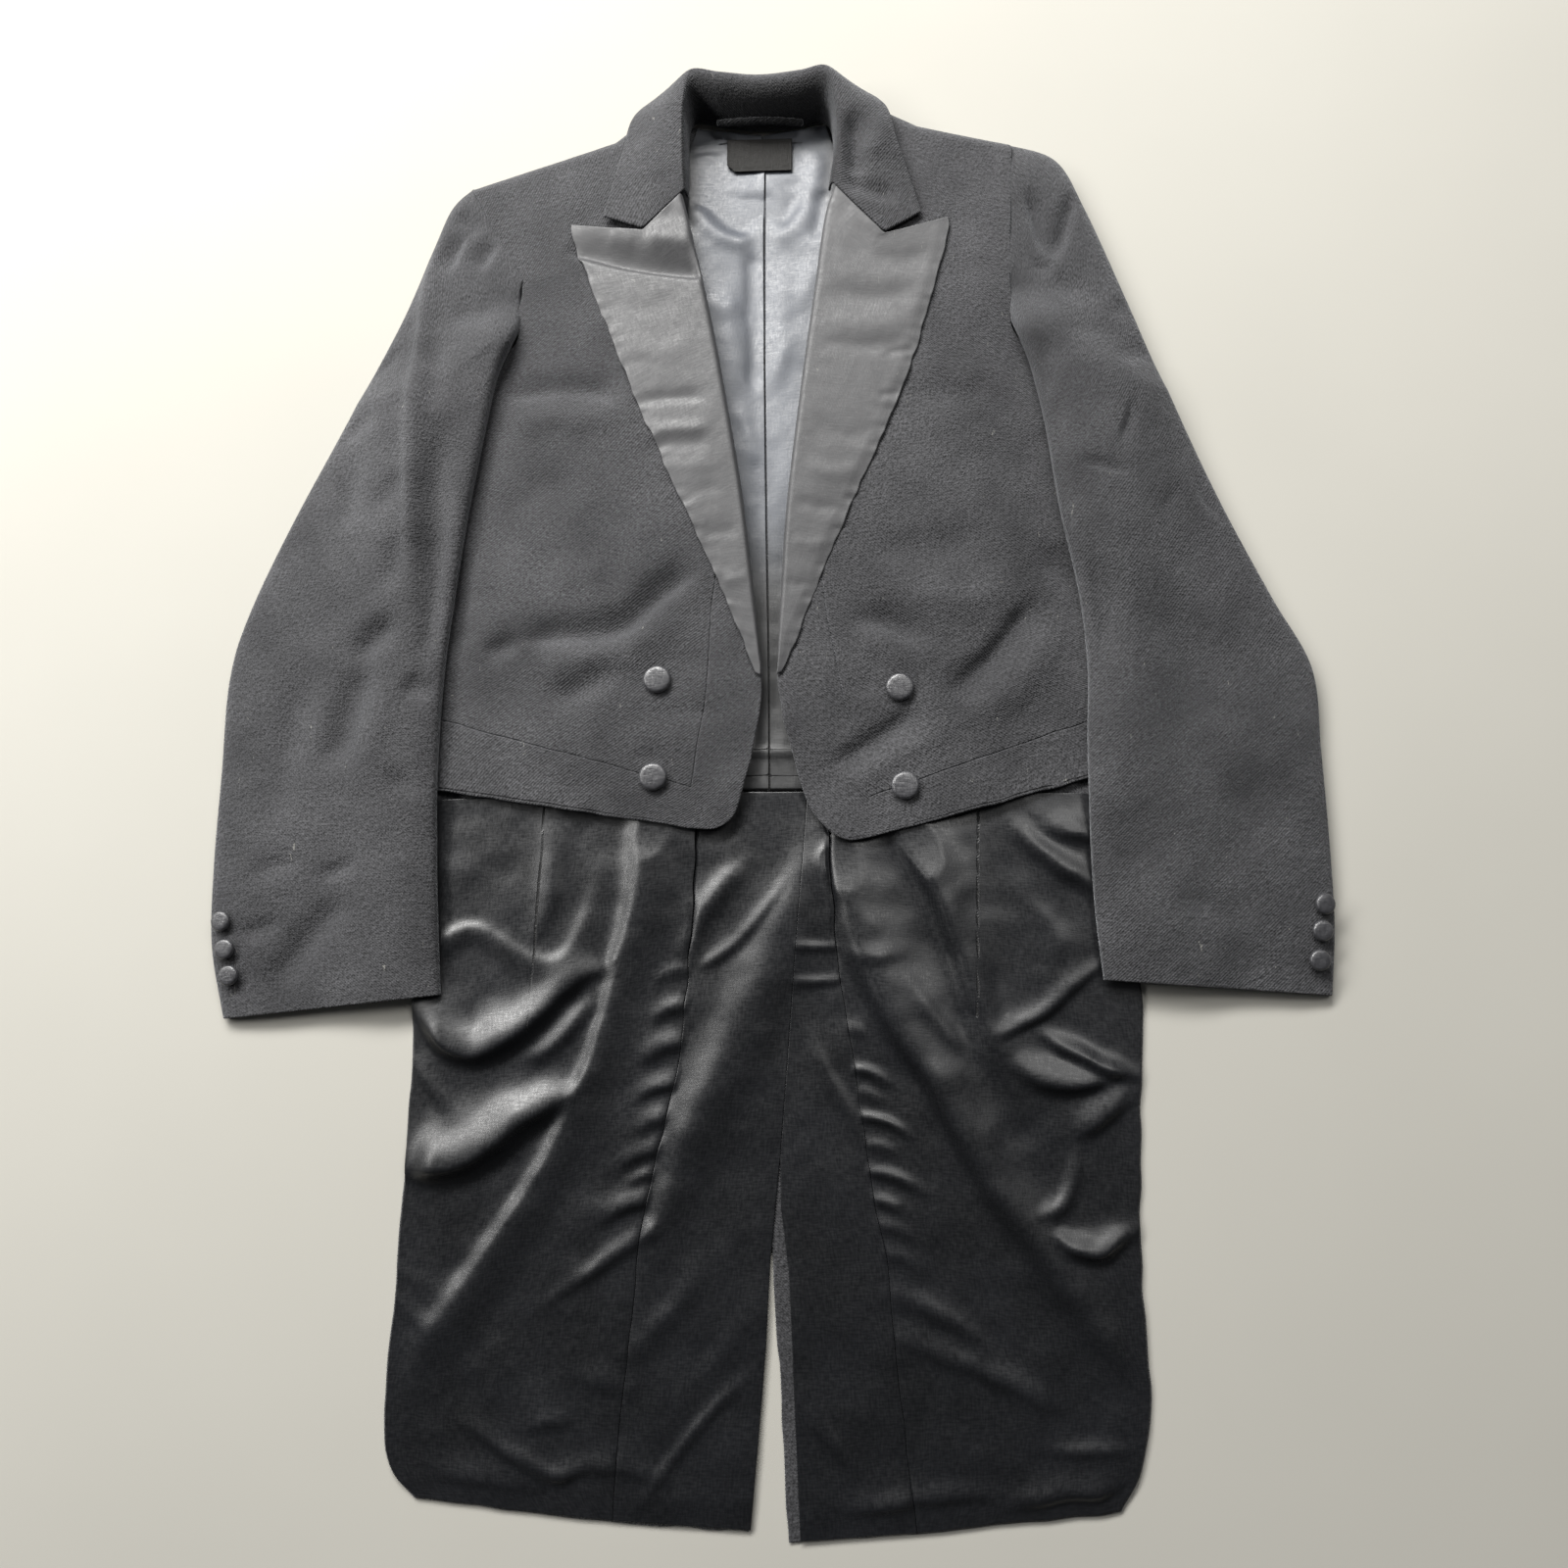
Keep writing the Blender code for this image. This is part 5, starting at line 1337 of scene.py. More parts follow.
@dataclass
class Back:
    """Half of the coat's back, flat on the floor, with the satin lining of its tail."""

    side: Side
    wool: float = 1.6
    lining: float = 0.8
    lining_seat: float = 1.9
    lining_setback: float = 1.3
    under_front: float = 5.8
    centre_share: float = 0.2
    shoulder_bow: float = 8.0
    centre_length: float = 62.0
    side_length: float = 168.0

    def plan(self, spacing: float, low: float, high: float, from_row_dense: Sequence[float]) -> tuple[Grid, Grid, Grid, Grid]:
        """Plan points of the half back from its centre to its side, between two rows.

        Returns:
            Row numbers, across fractions, points, and the seam's x for each row.
        """
        table = BACKS[self.side]
        rows = fine_rows(table, ["centre", "seam", "side"], spacing, from_row_dense, low, high)
        col = columns(table, rows)
        whole = self.centre_length + self.side_length
        s = stations(whole, spacing, [0, self.centre_length, whole])
        share = np.where(
            s <= self.centre_length,
            self.centre_share * s / self.centre_length,
            self.centre_share + (1 - self.centre_share) * (s - self.centre_length) / self.side_length,
        )
        points = spread(pair(col, "centre"), pair(col, "seam"), pair(col, "side"), share, self.centre_share)
        neck = np.clip(rows - (len(table) - 2), 0, 1)[:, None]
        across = np.clip((share - self.centre_share) / (1 - self.centre_share), 0, 1)[None]
        points[..., 1] -= neck**3 * self.shoulder_bow * 4 * across * (1 - across)
        return rows, share, points, col["seam_x"]

    def drape(self, x: Grid, y: Grid, seam_x: Grid) -> Grid:
        """Height of the tail lining's drape above its seat: rolls, seam puckers and small unevenness."""
        total = crease_field(TAIL_ROLLS, x, y)
        outside = smoothstep((self.side.sign * (x - seam_x[:, None]) + 3) / 3)
        order = np.argsort(y[:, 0])
        for at, reach, height, above, below in SEAM_PUCKERS[self.side]:
            start = float(np.interp(at, y[:, 0][order], seam_x[order]))
            wide = (above, below) if self.side is Side.RIGHT else (below, above)
            steps = ((0.0, 0.0, 0.9), (0.35, -0.06, 1.0), (0.7, -0.22, 0.7), (1.0, -0.42, 0.1))
            rows = tuple(RollRow(start + self.side.sign * reach * f, at + reach * g, height * k, *wide)
                         for f, g, k in steps)
            total += outside * Roll(rows).field(x, y)
        uneven = 0.9 * lattice_noise(x, y, 30, 21) + 0.4 * lattice_noise(x, y, 13, 22)
        hem = FRONTS[self.side][0]
        hem_y = np.interp(np.abs(x), [abs(hem.edge_x), abs(hem.dart_x), abs(hem.side_x)],
                          [hem.edge_y, hem.dart_y, hem.side_y])
        room = np.maximum(body_height(x, y) - self.under_front, 0.6)
        return np.clip(total + 0.6 + uneven, 0.0, room + 14.0 * smoothstep((hem_y - y) / 85))

    def build(self) -> None:
        """Build the back, side body and skirt, and the two panels of tail lining."""
        name = self.side.value
        last = len(BACKS[self.side]) - 1
        rows, share, plan, seam_x = self.plan(5.0, 0, last, [0, WOOL_WAIST_ROW, ARMHOLE_ROW, last])
        x, y = plan[..., 0], plan[..., 1]
        h = main_fold_height(x, y, seam_x[:, None])
        h = 0.5 * np.minimum(h, self.drape(x, y, seam_x))
        low = np.dstack([self.uneven_edge(plan), h])
        waist = int(np.searchsorted(rows, WOOL_WAIST_ROW - 1e-6))
        armhole = int(np.searchsorted(rows, ARMHOLE_ROW - 1e-6))
        seam = int(np.searchsorted(share, self.centre_share - 1e-6))
        shape = (plan.shape[0] - 1, plan.shape[1] - 1)
        skirt = np.zeros(shape, bool)
        skirt[:waist, seam:] = True
        side_body = np.zeros(shape, bool)
        side_body[waist:armhole, seam:] = True
        parts = (("back", ~(skirt | side_body)), ("side_body", side_body), ("skirt", skirt))
        for part, keep in parts:
            piece = cloth_shell(f"{part}_cloth_{name}", low, self.wool, keep, floor=0.0, bottom=True)
            finish_cloth(piece, WOOL, [f"{part}_{name}"])
        self.build_lining()

    def uneven_edge(self, plan: Grid) -> Grid:
        """The plan with its edges a little uneven, none of it above the waist."""
        tail = smoothstep((-40 - plan[..., 1:]) / 30)
        return plan + tail * (hand_drawn(plan, 17.0, 0.8, 61) - plan)

    def build_lining(self) -> None:
        """Build the outer panel of the tail lining and the middle strip, set back from the wool's edge."""
        name = self.side.value
        rows, share, plan, seam_x = self.plan(2.0, 0, WAIST_ROW, [0, WAIST_ROW])
        seam = int(np.searchsorted(share, self.centre_share - 1e-6))
        x, y = plan[..., 0], plan[..., 1]
        to_side = np.linalg.norm(plan - plan[:, -1:], axis=-1)
        to_hem = np.linalg.norm(plan - plan[:1], axis=-1)
        edge = (0.3 + 0.7 * smoothstep(to_side / 24)) * smoothstep(0.15 + to_hem / 24)
        drape = edge * self.drape(x, y, seam_x)
        from_seam = np.abs(x - seam_x[:, None])
        overlap = 2.2 * smoothstep((-200 - y) / -130) * np.exp(-((from_seam / 14) ** 2))
        side_lift = overlap if self.side is Side.LEFT else 0.0 * overlap
        drape = drape * (1 - 0.45 * np.exp(-((from_seam / 2.2) ** 2))) + side_lift
        pulled = self.lining_setback * (1 - smoothstep(to_side / 20))
        plan = self.uneven_edge(plan)
        plan[..., 0] -= self.side.sign * np.where(np.abs(x) > 60, 1.0, 0.0) * pulled
        plan[..., 1] += self.lining_setback * (1 - smoothstep(to_hem / 20))
        seat = self.lining_seat + self.lining
        top = np.dstack([plan, seat + drape])
        piece = cloth_shell(f"tail_lining_side_cloth_{name}", top[:, seam:], self.lining, seams=TAIL_DARTS)
        finish_cloth(piece, TAIL_SATIN, [f"tail_lining_side_{name}"])
        knots = np.array(TAIL_CENTRE_SEAM[self.side])
        middle_x = np.interp(y[:, 0], knots[:, 0], knots[:, 1])
        outer = plan[:, seam]
        inner = np.stack([middle_x, plan[:, 0, 1]], -1)
        f = stations(85.0, 2.2, [0, 85.0]) / 85.0
        strip = inner[:, None] + (outer - inner)[:, None] * f[None, :, None]
        height = edge[:, :1] * self.drape(strip[..., 0], strip[..., 1], seam_x)
        from_seam = np.abs(strip[..., 0] - outer[:, :1])
        to_middle = np.abs(strip[..., 0] - middle_x[:, None])
        vent = smoothstep(0.35 + to_middle / 14)
        vent = np.maximum(vent, smoothstep((strip[..., 1] + 290) / 60))
        overlap = 2.2 * smoothstep((-200 - strip[..., 1]) / -130) * np.exp(-((from_seam / 14) ** 2))
        strip_lift = overlap if self.side is Side.RIGHT else 0.0 * overlap
        height = height * (1 - 0.45 * np.exp(-((from_seam / 2.2) ** 2))) * vent + strip_lift
        top = np.dstack([strip, seat + height])
        piece = cloth_shell(f"tail_lining_centre_cloth_{name}", top, self.lining)
        finish_cloth(piece, TAIL_SATIN, [f"tail_lining_centre_{name}"])


LINING_CREASES = [
    Crease(((-54, 446), (-34, 414), (-6, 402)), -3.4, 9, 0.2, 0.2),
    Crease(((-56, 428), (-36, 402), (-6, 390)), 2.6, 9, 0.2, 0.2),
    Crease(((-50, 474), (-46, 452), (-36, 434)), -4.0, 10),
    Crease(((-40, 432), (-14, 424), (14, 428)), -3.0, 9),
    Crease(((6, 392), (24, 408), (38, 438)), 2.4, 9, -0.2, 0.2),
    Crease(((10, 408), (20, 420), (28, 438)), -1.6, 8),
    Crease(((-10, 392), (-9, 330), (-7, 262)), -2.2, 6, 0.2, 0.2),
    Crease(((-30, 372), (-24, 320), (-18, 262)), 1.5, 8, 0.0, 0.3),
    Crease(((-44, 350), (-30, 338), (-16, 344)), 1.2, 7, 0.0, 0.35),
    Crease(((12, 384), (14, 330), (13, 270)), 1.6, 8, 0.0, 0.3),
    Crease(((20, 330), (32, 350), (44, 384)), 1.4, 8, 0.0, 0.35),
    Crease(((6, 262), (14, 292), (24, 322)), 1.2, 7, 0.0, 0.35),
    Crease(((-4, 210), (-12, 240), (-22, 262)), 1.5, 6),
    Crease(((40, 478), (40, 452), (34, 425)), 2.4, 8),
    Crease(((46, 440), (44, 420), (40, 390)), -2.1, 6),
    Crease(((-4, 382), (-14, 370)), -1.3, 5),
    Crease(((-4, 338), (-13, 327)), -1.3, 5),
    Crease(((-3, 290), (-12, 279)), -1.2, 5),
    Crease(((-60, -6), (0, -8), (60, -8)), 1.5, 3, 0.3),
    Crease(((-16, 100), (-12, 40), (-12, -30)), 2.4, 2.4, 0.5),
]

# The yoke's edge above the label, the centre seam and the seams of the waistband
LINING_SEAMS = [
    ((-36, 479.5), (-30, 480.5), (-2, 479), (30, 479.5)),
    ((0.8, 452), (0.8, 290), (2.6, 170), (4.4, 60), (5.2, -36)),
    ((-60, -24), (-16, -24.5), (20, -24), (60, -25)),
    ((-60, -6), (-16, -5.5), (30, -6), (60, -6)),
]


@dataclass
class BodyLining:
    """The satin lining that shows down the open front, pressed to a small pleat at its centre seam."""

    thickness: float = 0.8
    seat: float = 1.9
    spacing: float = 2.4
    fall_to_seam: float = 0.10

    def build(self) -> None:
        """Build the two panels: flat at their seat, with creases on top."""
        table = BODY_LINING
        rows = np.linspace(0, len(table) - 1, 205)
        col = columns(table, rows)
        for side in Side:
            outer = np.stack([col[f"side_{side.value}"], col["side_y"]], -1)
            seam = np.stack([col["seam_x"], col["y"]], -1)
            f = stations(60.0, self.spacing, [0, 60.0]) / 60.0
            plan = seam[:, None] + (outer - seam)[:, None] * f[None, :, None]
            x, y = plan[..., 0], plan[..., 1]
            h = 0.9 + crease_field(LINING_CREASES, x, y)
            h += 0.5 * lattice_noise(x, y, 22, 31) + 0.25 * lattice_noise(x, y, 9, 32)
            beside = x - col["seam_x"][:, None]
            h += np.where(beside >= 0, 0.0, 1.0) * np.exp(-((beside / 5) ** 2))
            h += self.fall_to_seam * np.abs(beside) * smoothstep((448 - y) / 60) * smoothstep((y - 150) / 60)
            top = np.dstack([plan, self.seat + self.thickness + np.maximum(h, 0)])
            # Painted shadow: the lining's colour is darkened low down where the fronts close over it, towards
            # its sides under the fronts' edges, and near the collar.
            painted_gap_shadow = 0.95 * smoothstep((180 - y) / 80)
            painted_gap_shadow = np.maximum(painted_gap_shadow, 0.75 * smoothstep((np.abs(x + 2) - 43) / 14))
            painted_collar_shadow = 0.35 * smoothstep((y - 452) / 25)
            painted_shade = np.maximum(painted_gap_shadow, painted_collar_shadow)
            piece = cloth_shell(f"body_lining_cloth_{side.value}", top, self.thickness,
                                seams=LINING_SEAMS, painted_shade=painted_shade)
            finish_cloth(piece, BODY_SATIN, [f"body_lining_{side.value}"])


SLEEVE_CREASES = {
    Side.LEFT: [
        Crease(((-256, 440), (-259, 340), (-262, 240), (-258, 120)), 4.0, 8, 0.3, 0.15),
        Crease(((-240, 250), (-241, 140), (-238, 45)), -6.5, 12, 0.0, 0.2),
        Crease(((-250, 315), (-243, 245)), -3.2, 9, 0.0, 0.4),
        Crease(((-262, 92), (-282, 78), (-300, 56)), -6.0, 10, 0.0, 0.35),
        Crease(((-286, 66), (-300, 20), (-318, -30)), -6.0, 13, 0.0, 0.3),
        Crease(((-266, 60), (-280, 10), (-286, -40)), 3.0, 14, 0.0, 0.35),
        Crease(((-262, 46), (-246, 38), (-230, 36)), -4.6, 9, 0.0, 0.35),
        Crease(((-266, 160), (-276, 105)), -3.2, 10, 0.0, 0.4),
        Crease(((-305, 235), (-312, 155)), -3.4, 11, 0.0, 0.4),
        Crease(((-286, 170), (-266, 205)), -2.8, 9, 0.0, 0.4),
        Crease(((-308, 284), (-272, 306)), -3.2, 8, 0.0, 0.4),
        Crease(((-326, 230), (-286, 254)), -2.8, 8, 0.0, 0.4),
        Crease(((-322, -98), (-284, -86)), -3.0, 6, 0.0, 0.4),
        Crease(((-372, -95), (-326, -84)), -2.6, 7, 0.0, 0.4),
        Crease(((-378, -140), (-338, -128)), -3.0, 6, 0.0, 0.4),
        Crease(((-356, -184), (-325, -145), (-292, -106)), -4.4, 11, 0.0, 0.3),
        Crease(((-240, 420), (-226, 404), (-218, 392)), -3.6, 7, 0.2, 0.4),
        Crease(((-244, 362), (-238, 384), (-228, 402)), -4.4, 7, 0.3, 0.4),
        Crease(((-222, 364), (-210, 384), (-202, 392)), -4.6, 8, 0.3, 0.4),
        Crease(((-238, 338), (-218, 330), (-200, 336)), -3.2, 10, 0.0, 0.4),
        Crease(((-330, 70), (-345, 0), (-350, -70)), -3.4, 16, 0.0, 0.35),
        Crease(((-275, -34), (-245, -24)), -2.0, 8, 0.0, 0.45),
    ],
    Side.RIGHT: [
        Crease(((200, 428), (206, 400), (215, 364)), -4.6, 6, 0.3, 0.35),
        Crease(((238, 430), (229, 392), (216, 358)), -6.4, 6, -0.3, 0.35),
        Crease(((200, 360), (222, 358)), -2.6, 5, 0.0, 0.45),
        Crease(((220, 362), (236, 326)), -2.8, 8, 0.0, 0.45),
        Crease(((270, 254), (267, 234), (258, 212)), -2.8, 4.5, 0.5, 0.4),
        Crease(((228, 203), (250, 197), (272, 190)), -2.6, 4.5, 0.3, 0.4),
        Crease(((302, 192), (288, 156)), -2.2, 6, 0.3, 0.45),
        Crease(((258, 278), (280, 290), (304, 294)), -2.6, 8, 0.0, 0.4),
        Crease(((258, 316), (280, 334)), -2.2, 8, 0.0, 0.45),
        Crease(((316, 204), (326, 172), (348, 162)), -2.2, 7, 0.3, 0.4),
        Crease(((205, 305), (212, 245)), -3.4, 9, 0.0, 0.4),
        Crease(((216, 260), (216, 205)), -1.6, 5, 0.0, 0.4),
        Crease(((228, 140), (245, 95), (240, 50)), -4.4, 14, 0.0, 0.35),
        Crease(((275, 130), (300, 60), (324, 0)), -3.4, 18, 0.0, 0.35),
        Crease(((330, -10), (352, -90)), -2.8, 16, 0.0, 0.4),
        Crease(((260, -30), (262, -115)), -2.4, 15, 0.0, 0.4),
        Crease(((280, -102), (315, -120), (355, -122)), -2.8, 12, 0.0, 0.4),
        Crease(((300, -104), (300, -168)), -1.8, 12, 0.0, 0.4),
    ],
}


@dataclass
class Sleeve:
    """One sleeve: a flattened tube over the body's side and the tail's edge, in a top and an under part."""

    side: Side
    thickness: float = 1.4
    clearance: float = 1.2
    squareness: float = 3.0
    middle_share: float = 0.24
    head_rows: float = 1.6
    head_lift: float = 1.2
    spacing: float = 2.8
    head_tuck: float = 2.5
    edge_tuck: float = 4.0

    def tuck(self, rows: Grid, col: dict[str, Grid]) -> None:
        """Move the head of the sleeve, and its inner edge below the armhole, in under the forepart."""
        seam = np.array([col["out_x"][0] - col["in_x"][0], col["out_y"][0] - col["in_y"][0]])
        seam /= np.linalg.norm(seam)
        inward = np.array([-self.side.sign * abs(seam[1]), abs(seam[0])])
        at_head = self.head_tuck * np.clip(1 - rows / 0.3, 0, 1)
        for edge in ("in", "out"):
            col[f"{edge}_x"] = col[f"{edge}_x"] + at_head * inward[0]
            col[f"{edge}_y"] = col[f"{edge}_y"] + at_head * inward[1]
        beside = self.edge_tuck * np.exp(-(((rows - 1.5) / 0.8) ** 2)) * np.clip(rows / 0.5, 0, 1)
        col["in_x"] = col["in_x"] - self.side.sign * beside

    def rest(self, x: Grid, y: Grid, over: Grid) -> Grid:
        """What the sleeve rests on: the body's side, the tail below it, and else the floor."""
        front = smoothstep((y + 75) / 35)
        body = front * body_height(x, y) + (1 - front) * 4.2
        return smoothstep((345 - y) / 45) * smoothstep((over + 30) / 22) * (body + self.clearance)

    def side_of_body(self, y: Grid) -> Grid:
        """Distance of the body's side from the middle at a place along the coat."""
        fronts, backs = FRONTS[self.side], BACKS[self.side][:WAIST_ROW + 1]
        at = [row.side_y for row in backs] + [row.side_y for row in fronts[1:]]
        reach = [abs(row.side_x) for row in backs] + [abs(row.side_x) for row in fronts[1:]]
        return np.interp(y, at, reach)

    def face(self, col: dict[str, Grid], t: Grid, upper: bool) -> Grid:
        """Points of the upper or lower face at fractions t of the width.

        The edges are a superellipse of exponent 3 about a middle level, a share of the depth above what
        the sleeve rests on. At its head the upper face runs on level to the armhole seam.
        """
        plan_in, plan_out = pair(col, "in")[:, None], pair(col, "out")[:, None]
        plan = plan_in + (plan_out - plan_in) * t[None, :, None]
        x, y = plan[..., 0], plan[..., 1]
        depth = col["depth"][:, None]
        over = self.side_of_body(y) - np.abs(x)
        round_off = np.clip(1 - np.abs(2 * t - 1) ** self.squareness, 0, 1) ** (1 / self.squareness)
        at_head = 1 - smoothstep(col["row"] / self.head_rows)[:, None]
        if upper:
            round_off = np.where(t < 0.5, round_off + at_head * (1 - round_off), round_off)
        rest = self.rest(x, y, over)
        bridge = self.rest(x, y, np.minimum(over, 0) * 20 / 70)
        middle = np.maximum(rest, bridge * smoothstep((over + 90) / 88)) + self.middle_share * depth
        if not upper:
            z = rest + (middle - rest) * (1 - np.minimum(1, 1.12 * round_off))
            return np.dstack([plan, z])
        z = middle + (1 - self.middle_share) * depth * round_off + self.head_lift * at_head
        inside = smoothstep(np.minimum(t, 1 - t) * 9)[None] * smoothstep((y + 205) / 12)
        crease = crease_field(SLEEVE_CREASES[self.side], x, y)
        noise = 1.3 * lattice_noise(x, y, 44, 51) + 0.35 * lattice_noise(x, y, 16, 52)
        return np.dstack([plan, z + inside * (crease + noise)])

    def build(self) -> None:
        """Build the top sleeve, over both edges, and the under sleeve beneath."""
        table = SLEEVES[self.side]
        rows = fine_rows(table, ["in", "out"], self.spacing, [0, len(table) - 1])
        col = columns(table, rows)
        col["row"] = rows
        self.tuck(rows, col)
        turn = np.linspace(0, 1, 73)
        upper_t = 0.5 - 0.5 * np.cos(math.pi * turn)
        upper_t = 0.55 * upper_t + 0.45 * turn
        low_t = np.array([0.05, 0.035, 0.02, 0.008])
        start = self.face(col, low_t, False)
        end = self.face(col, 1 - low_t[::-1], False)
        over = np.concatenate([start, self.face(col, upper_t, True), end], 1)
        name = self.side.value
        piece = cloth_shell(f"sleeve_top_cloth_{name}", over, self.thickness, floor=0.05)
        finish_cloth(piece, WOOL, [f"sleeve_top_{name}"])
        under_t = stations(150.0, 4.5, [0, 150.0]) / 150.0 * 0.90 + 0.05
        under = self.face(col, under_t, False)
        piece = cloth_shell(f"sleeve_under_cloth_{name}", under, self.thickness, floor=0.05, bottom=True)
        finish_cloth(piece, WOOL, [f"sleeve_under_{name}"])


FRONT_BUTTONS = ("front_button_left_upper", "front_button_left_lower",
                 "front_button_right_upper", "front_button_right_lower")
CUFF_BUTTONS = tuple(f"cuff_button_{side.value}_{k}" for side in Side for k in (1, 2, 3))


@dataclass
class CoveredButton:
    """A button covered in silk, gathered over its rim, on the seat that its solid gives."""

    node: str
    diameter: float
    depth: float = 4.4
    turns: int = 56

    def build(self) -> None:
        """Build the button: a rounded profile turned about its solid's own axis, with fine gathers."""
        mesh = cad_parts[self.node].data
        co = np.empty(len(mesh.vertices) * 3, np.float32)
        mesh.vertices.foreach_get("co", co)
        co = np.unique(np.round(co.reshape(-1, 3) / MM, 4), axis=0).astype(float)
        centre = co.mean(0)
        _, _, axes = np.linalg.svd(co - centre)
        axis = axes[2] if axes[2][2] > 0 else -axes[2]
        level = (co - centre) @ axis
        base = centre + axis * level.min()
        side = np.cross((0.0, 1.0, 0.0), axis)
        side /= np.linalg.norm(side)
        other = np.cross(axis, side)
        radius = 0.5 * self.diameter
        profile = np.array([
            (0.0, 0.0), (0.5, 0.0), (0.80, 0.02), (0.93, 0.14), (0.99, 0.32), (1.0, 0.46), (0.985, 0.62),
            (0.94, 0.76), (0.87, 0.87), (0.76, 0.94), (0.60, 0.975), (0.40, 0.99), (0.2, 1.0), (0.0, 1.0)])
        angle = np.linspace(0, 2 * math.pi, self.turns, endpoint=False)
        rim = np.exp(-(((profile[:, 0] - 0.97) / 0.06) ** 2))
        gather = 1 + 0.012 * rim[:, None] * np.sin(13 * angle + 2 * np.sin(3 * angle))[None]
        r = radius * profile[1:-1, :1] * gather[1:-1]
        flat = r[..., None] * (np.cos(angle)[:, None] * side + np.sin(angle)[:, None] * other)[None]
        rings = base + flat + (profile[1:-1, 1] * self.depth)[:, None, None] * axis
        points = np.concatenate([rings.reshape(-1, 3), [base], [base + axis * self.depth]])
        count, n = len(rings), self.turns
        k = np.arange(n)
        nxt = (k + 1) % n
        bands = [np.stack([i * n + k, i * n + nxt, (i + 1) * n + nxt, (i + 1) * n + k], -1)
                 for i in range(count - 1)]
        quads = np.concatenate(bands).tolist()
        low, high = count * n, count * n + 1
        top = (count - 1) * n
        triangles = [[low, int(b), int(a)] for a, b in zip(k, nxt)]
        triangles += [[high, int(top + a), int(top + b)] for a, b in zip(k, nxt)]
        mesh = bpy.data.meshes.new(f"{self.node}_cover")
        mesh.from_pydata((points * MM).tolist(), [], quads + triangles)
        mesh.shade_smooth()
        obj = bpy.data.objects.new(mesh.name, mesh)
        bpy.context.scene.collection.objects.link(obj)
        finish_trim(recalculated(obj), BUTTON_SILK, [self.node])


@dataclass
class NeckLabel:
    """The bare woven label at the back of the neck, with one lower corner cut off."""

    width: float = 51.0
    height: float = 28.0
    corner: float = 6.0
    centre_x: float = -3.5
    centre_y: float = 468.0
    seat: float = 3.2
    thickness: float = 0.8

    def build(self) -> None:
        """Build the label on a fine grid, waved a little, its cut corner drawn in."""
        u = stations(self.width, 1.5, [0, self.width]) - self.width / 2
        v = stations(self.height, 1.5, [0, self.height]) - self.height / 2
        x, y = np.meshgrid(u, v)
        cut = self.corner - ((x + self.width / 2) + (y + self.height / 2))
        x = np.where(cut > 0, x + cut / 2, x)
        y = np.where(cut > 0, y + cut / 2, y)
        edge = np.minimum(self.width / 2 - np.abs(x), self.height / 2 - np.abs(y))
        border = 0.25 * np.exp(-(((edge - 2.2) / 0.9) ** 2))
        px, py = x + self.centre_x, y + self.centre_y
        lift = self.seat + self.thickness + 1.9
        top = np.dstack([px, py, lift + 0.35 * lattice_noise(px, py, 22, 31) - border])
        piece = cloth_shell("neck_label_cloth", top, self.thickness)
        finish_cloth(piece, LABEL_CLOTH, ["neck_label"])


@dataclass
class HangerLoop:
    """The rolled strip of cloth across the back of the neck."""

    half_height: float = 2.8
    half_thickness: float = 1.2

    def build(self) -> None:
        """Build the loop: an oval carried along its smooth line, with closed ends."""
        line_points = [(-36, 492.4, 11), (-34, 490.0, 14), (-19, 488.2, 17.4), (-3, 487.8, 18.4),
                       (13, 488.0, 17.4), (28, 488.6, 14), (30, 490.6, 11)]
        line = along(line_points, np.linspace(0, 6, 90))
        tangent = np.gradient(line, axis=0)
        tangent /= np.linalg.norm(tangent, axis=1, keepdims=True)
        up = np.array([0, 0.6, 0.8])
        up = up[None] - (tangent @ up)[:, None] * tangent
        up /= np.linalg.norm(up, axis=1, keepdims=True)
        out = np.cross(up, tangent)
        angle = np.linspace(0, 2 * math.pi, 20, endpoint=False)
        s = np.linspace(0, 1, len(line))
        close = np.sqrt(np.clip(1 - (np.abs(2 * s - 1) ** 12), 0.02, 1))
        ripple = 1 + 0.06 * np.sin(60 * s)
        a = (self.half_height * close * ripple)[:, None, None]
        b = (self.half_thickness * close)[:, None, None]
        oval = line[:, None] + a * np.sin(angle)[None, :, None] * up[:, None] \
            + b * np.cos(angle)[None, :, None] * out[:, None]
        n = len(angle)
        k = np.arange(n)
        nxt = (k + 1) % n
        faces = np.concatenate([
            np.stack([i * n + k, i * n + nxt, (i + 1) * n + nxt, (i + 1) * n + k], -1)
            for i in range(len(line) - 1)]).tolist()
        faces.append(list(range(n))[::-1])
        faces.append([(len(line) - 1) * n + int(v) for v in k])
        mesh = bpy.data.meshes.new("hanger_loop_cloth")
        mesh.from_pydata((oval.reshape(-1, 3) * MM).tolist(), [], faces)
        layer = mesh.uv_layers.new(name="cloth")
        index = np.empty(len(mesh.loops), np.int32)
        mesh.loops.foreach_get("vertex_index", index)
        u = np.tile(angle * self.half_height, len(line)) * MM
        v = np.repeat(s * 70.0, n) * MM
        layer.data.foreach_set("uv", np.stack([u, v], -1)[index].astype(np.float32).ravel())
        mesh.shade_smooth()
        obj = bpy.data.objects.new(mesh.name, mesh)
        bpy.context.scene.collection.objects.link(obj)
        finish_trim(recalculated(obj), WOOL, ["hanger_loop"])


# ---- The studio


# The studio's soft lights: name, place and size in metres, and power in watts
LAMPS = (
    ("window", (-0.85, 1.8, 1.5), (2.4, 0.6), 165.0),
    ("west_panel", (-1.85, 0.45, 1.3), (1.0, 0.5), 26.0),
    ("east_panel", (1.1, 1.0, 1.95), (1.0, 0.6), 18.0),
)


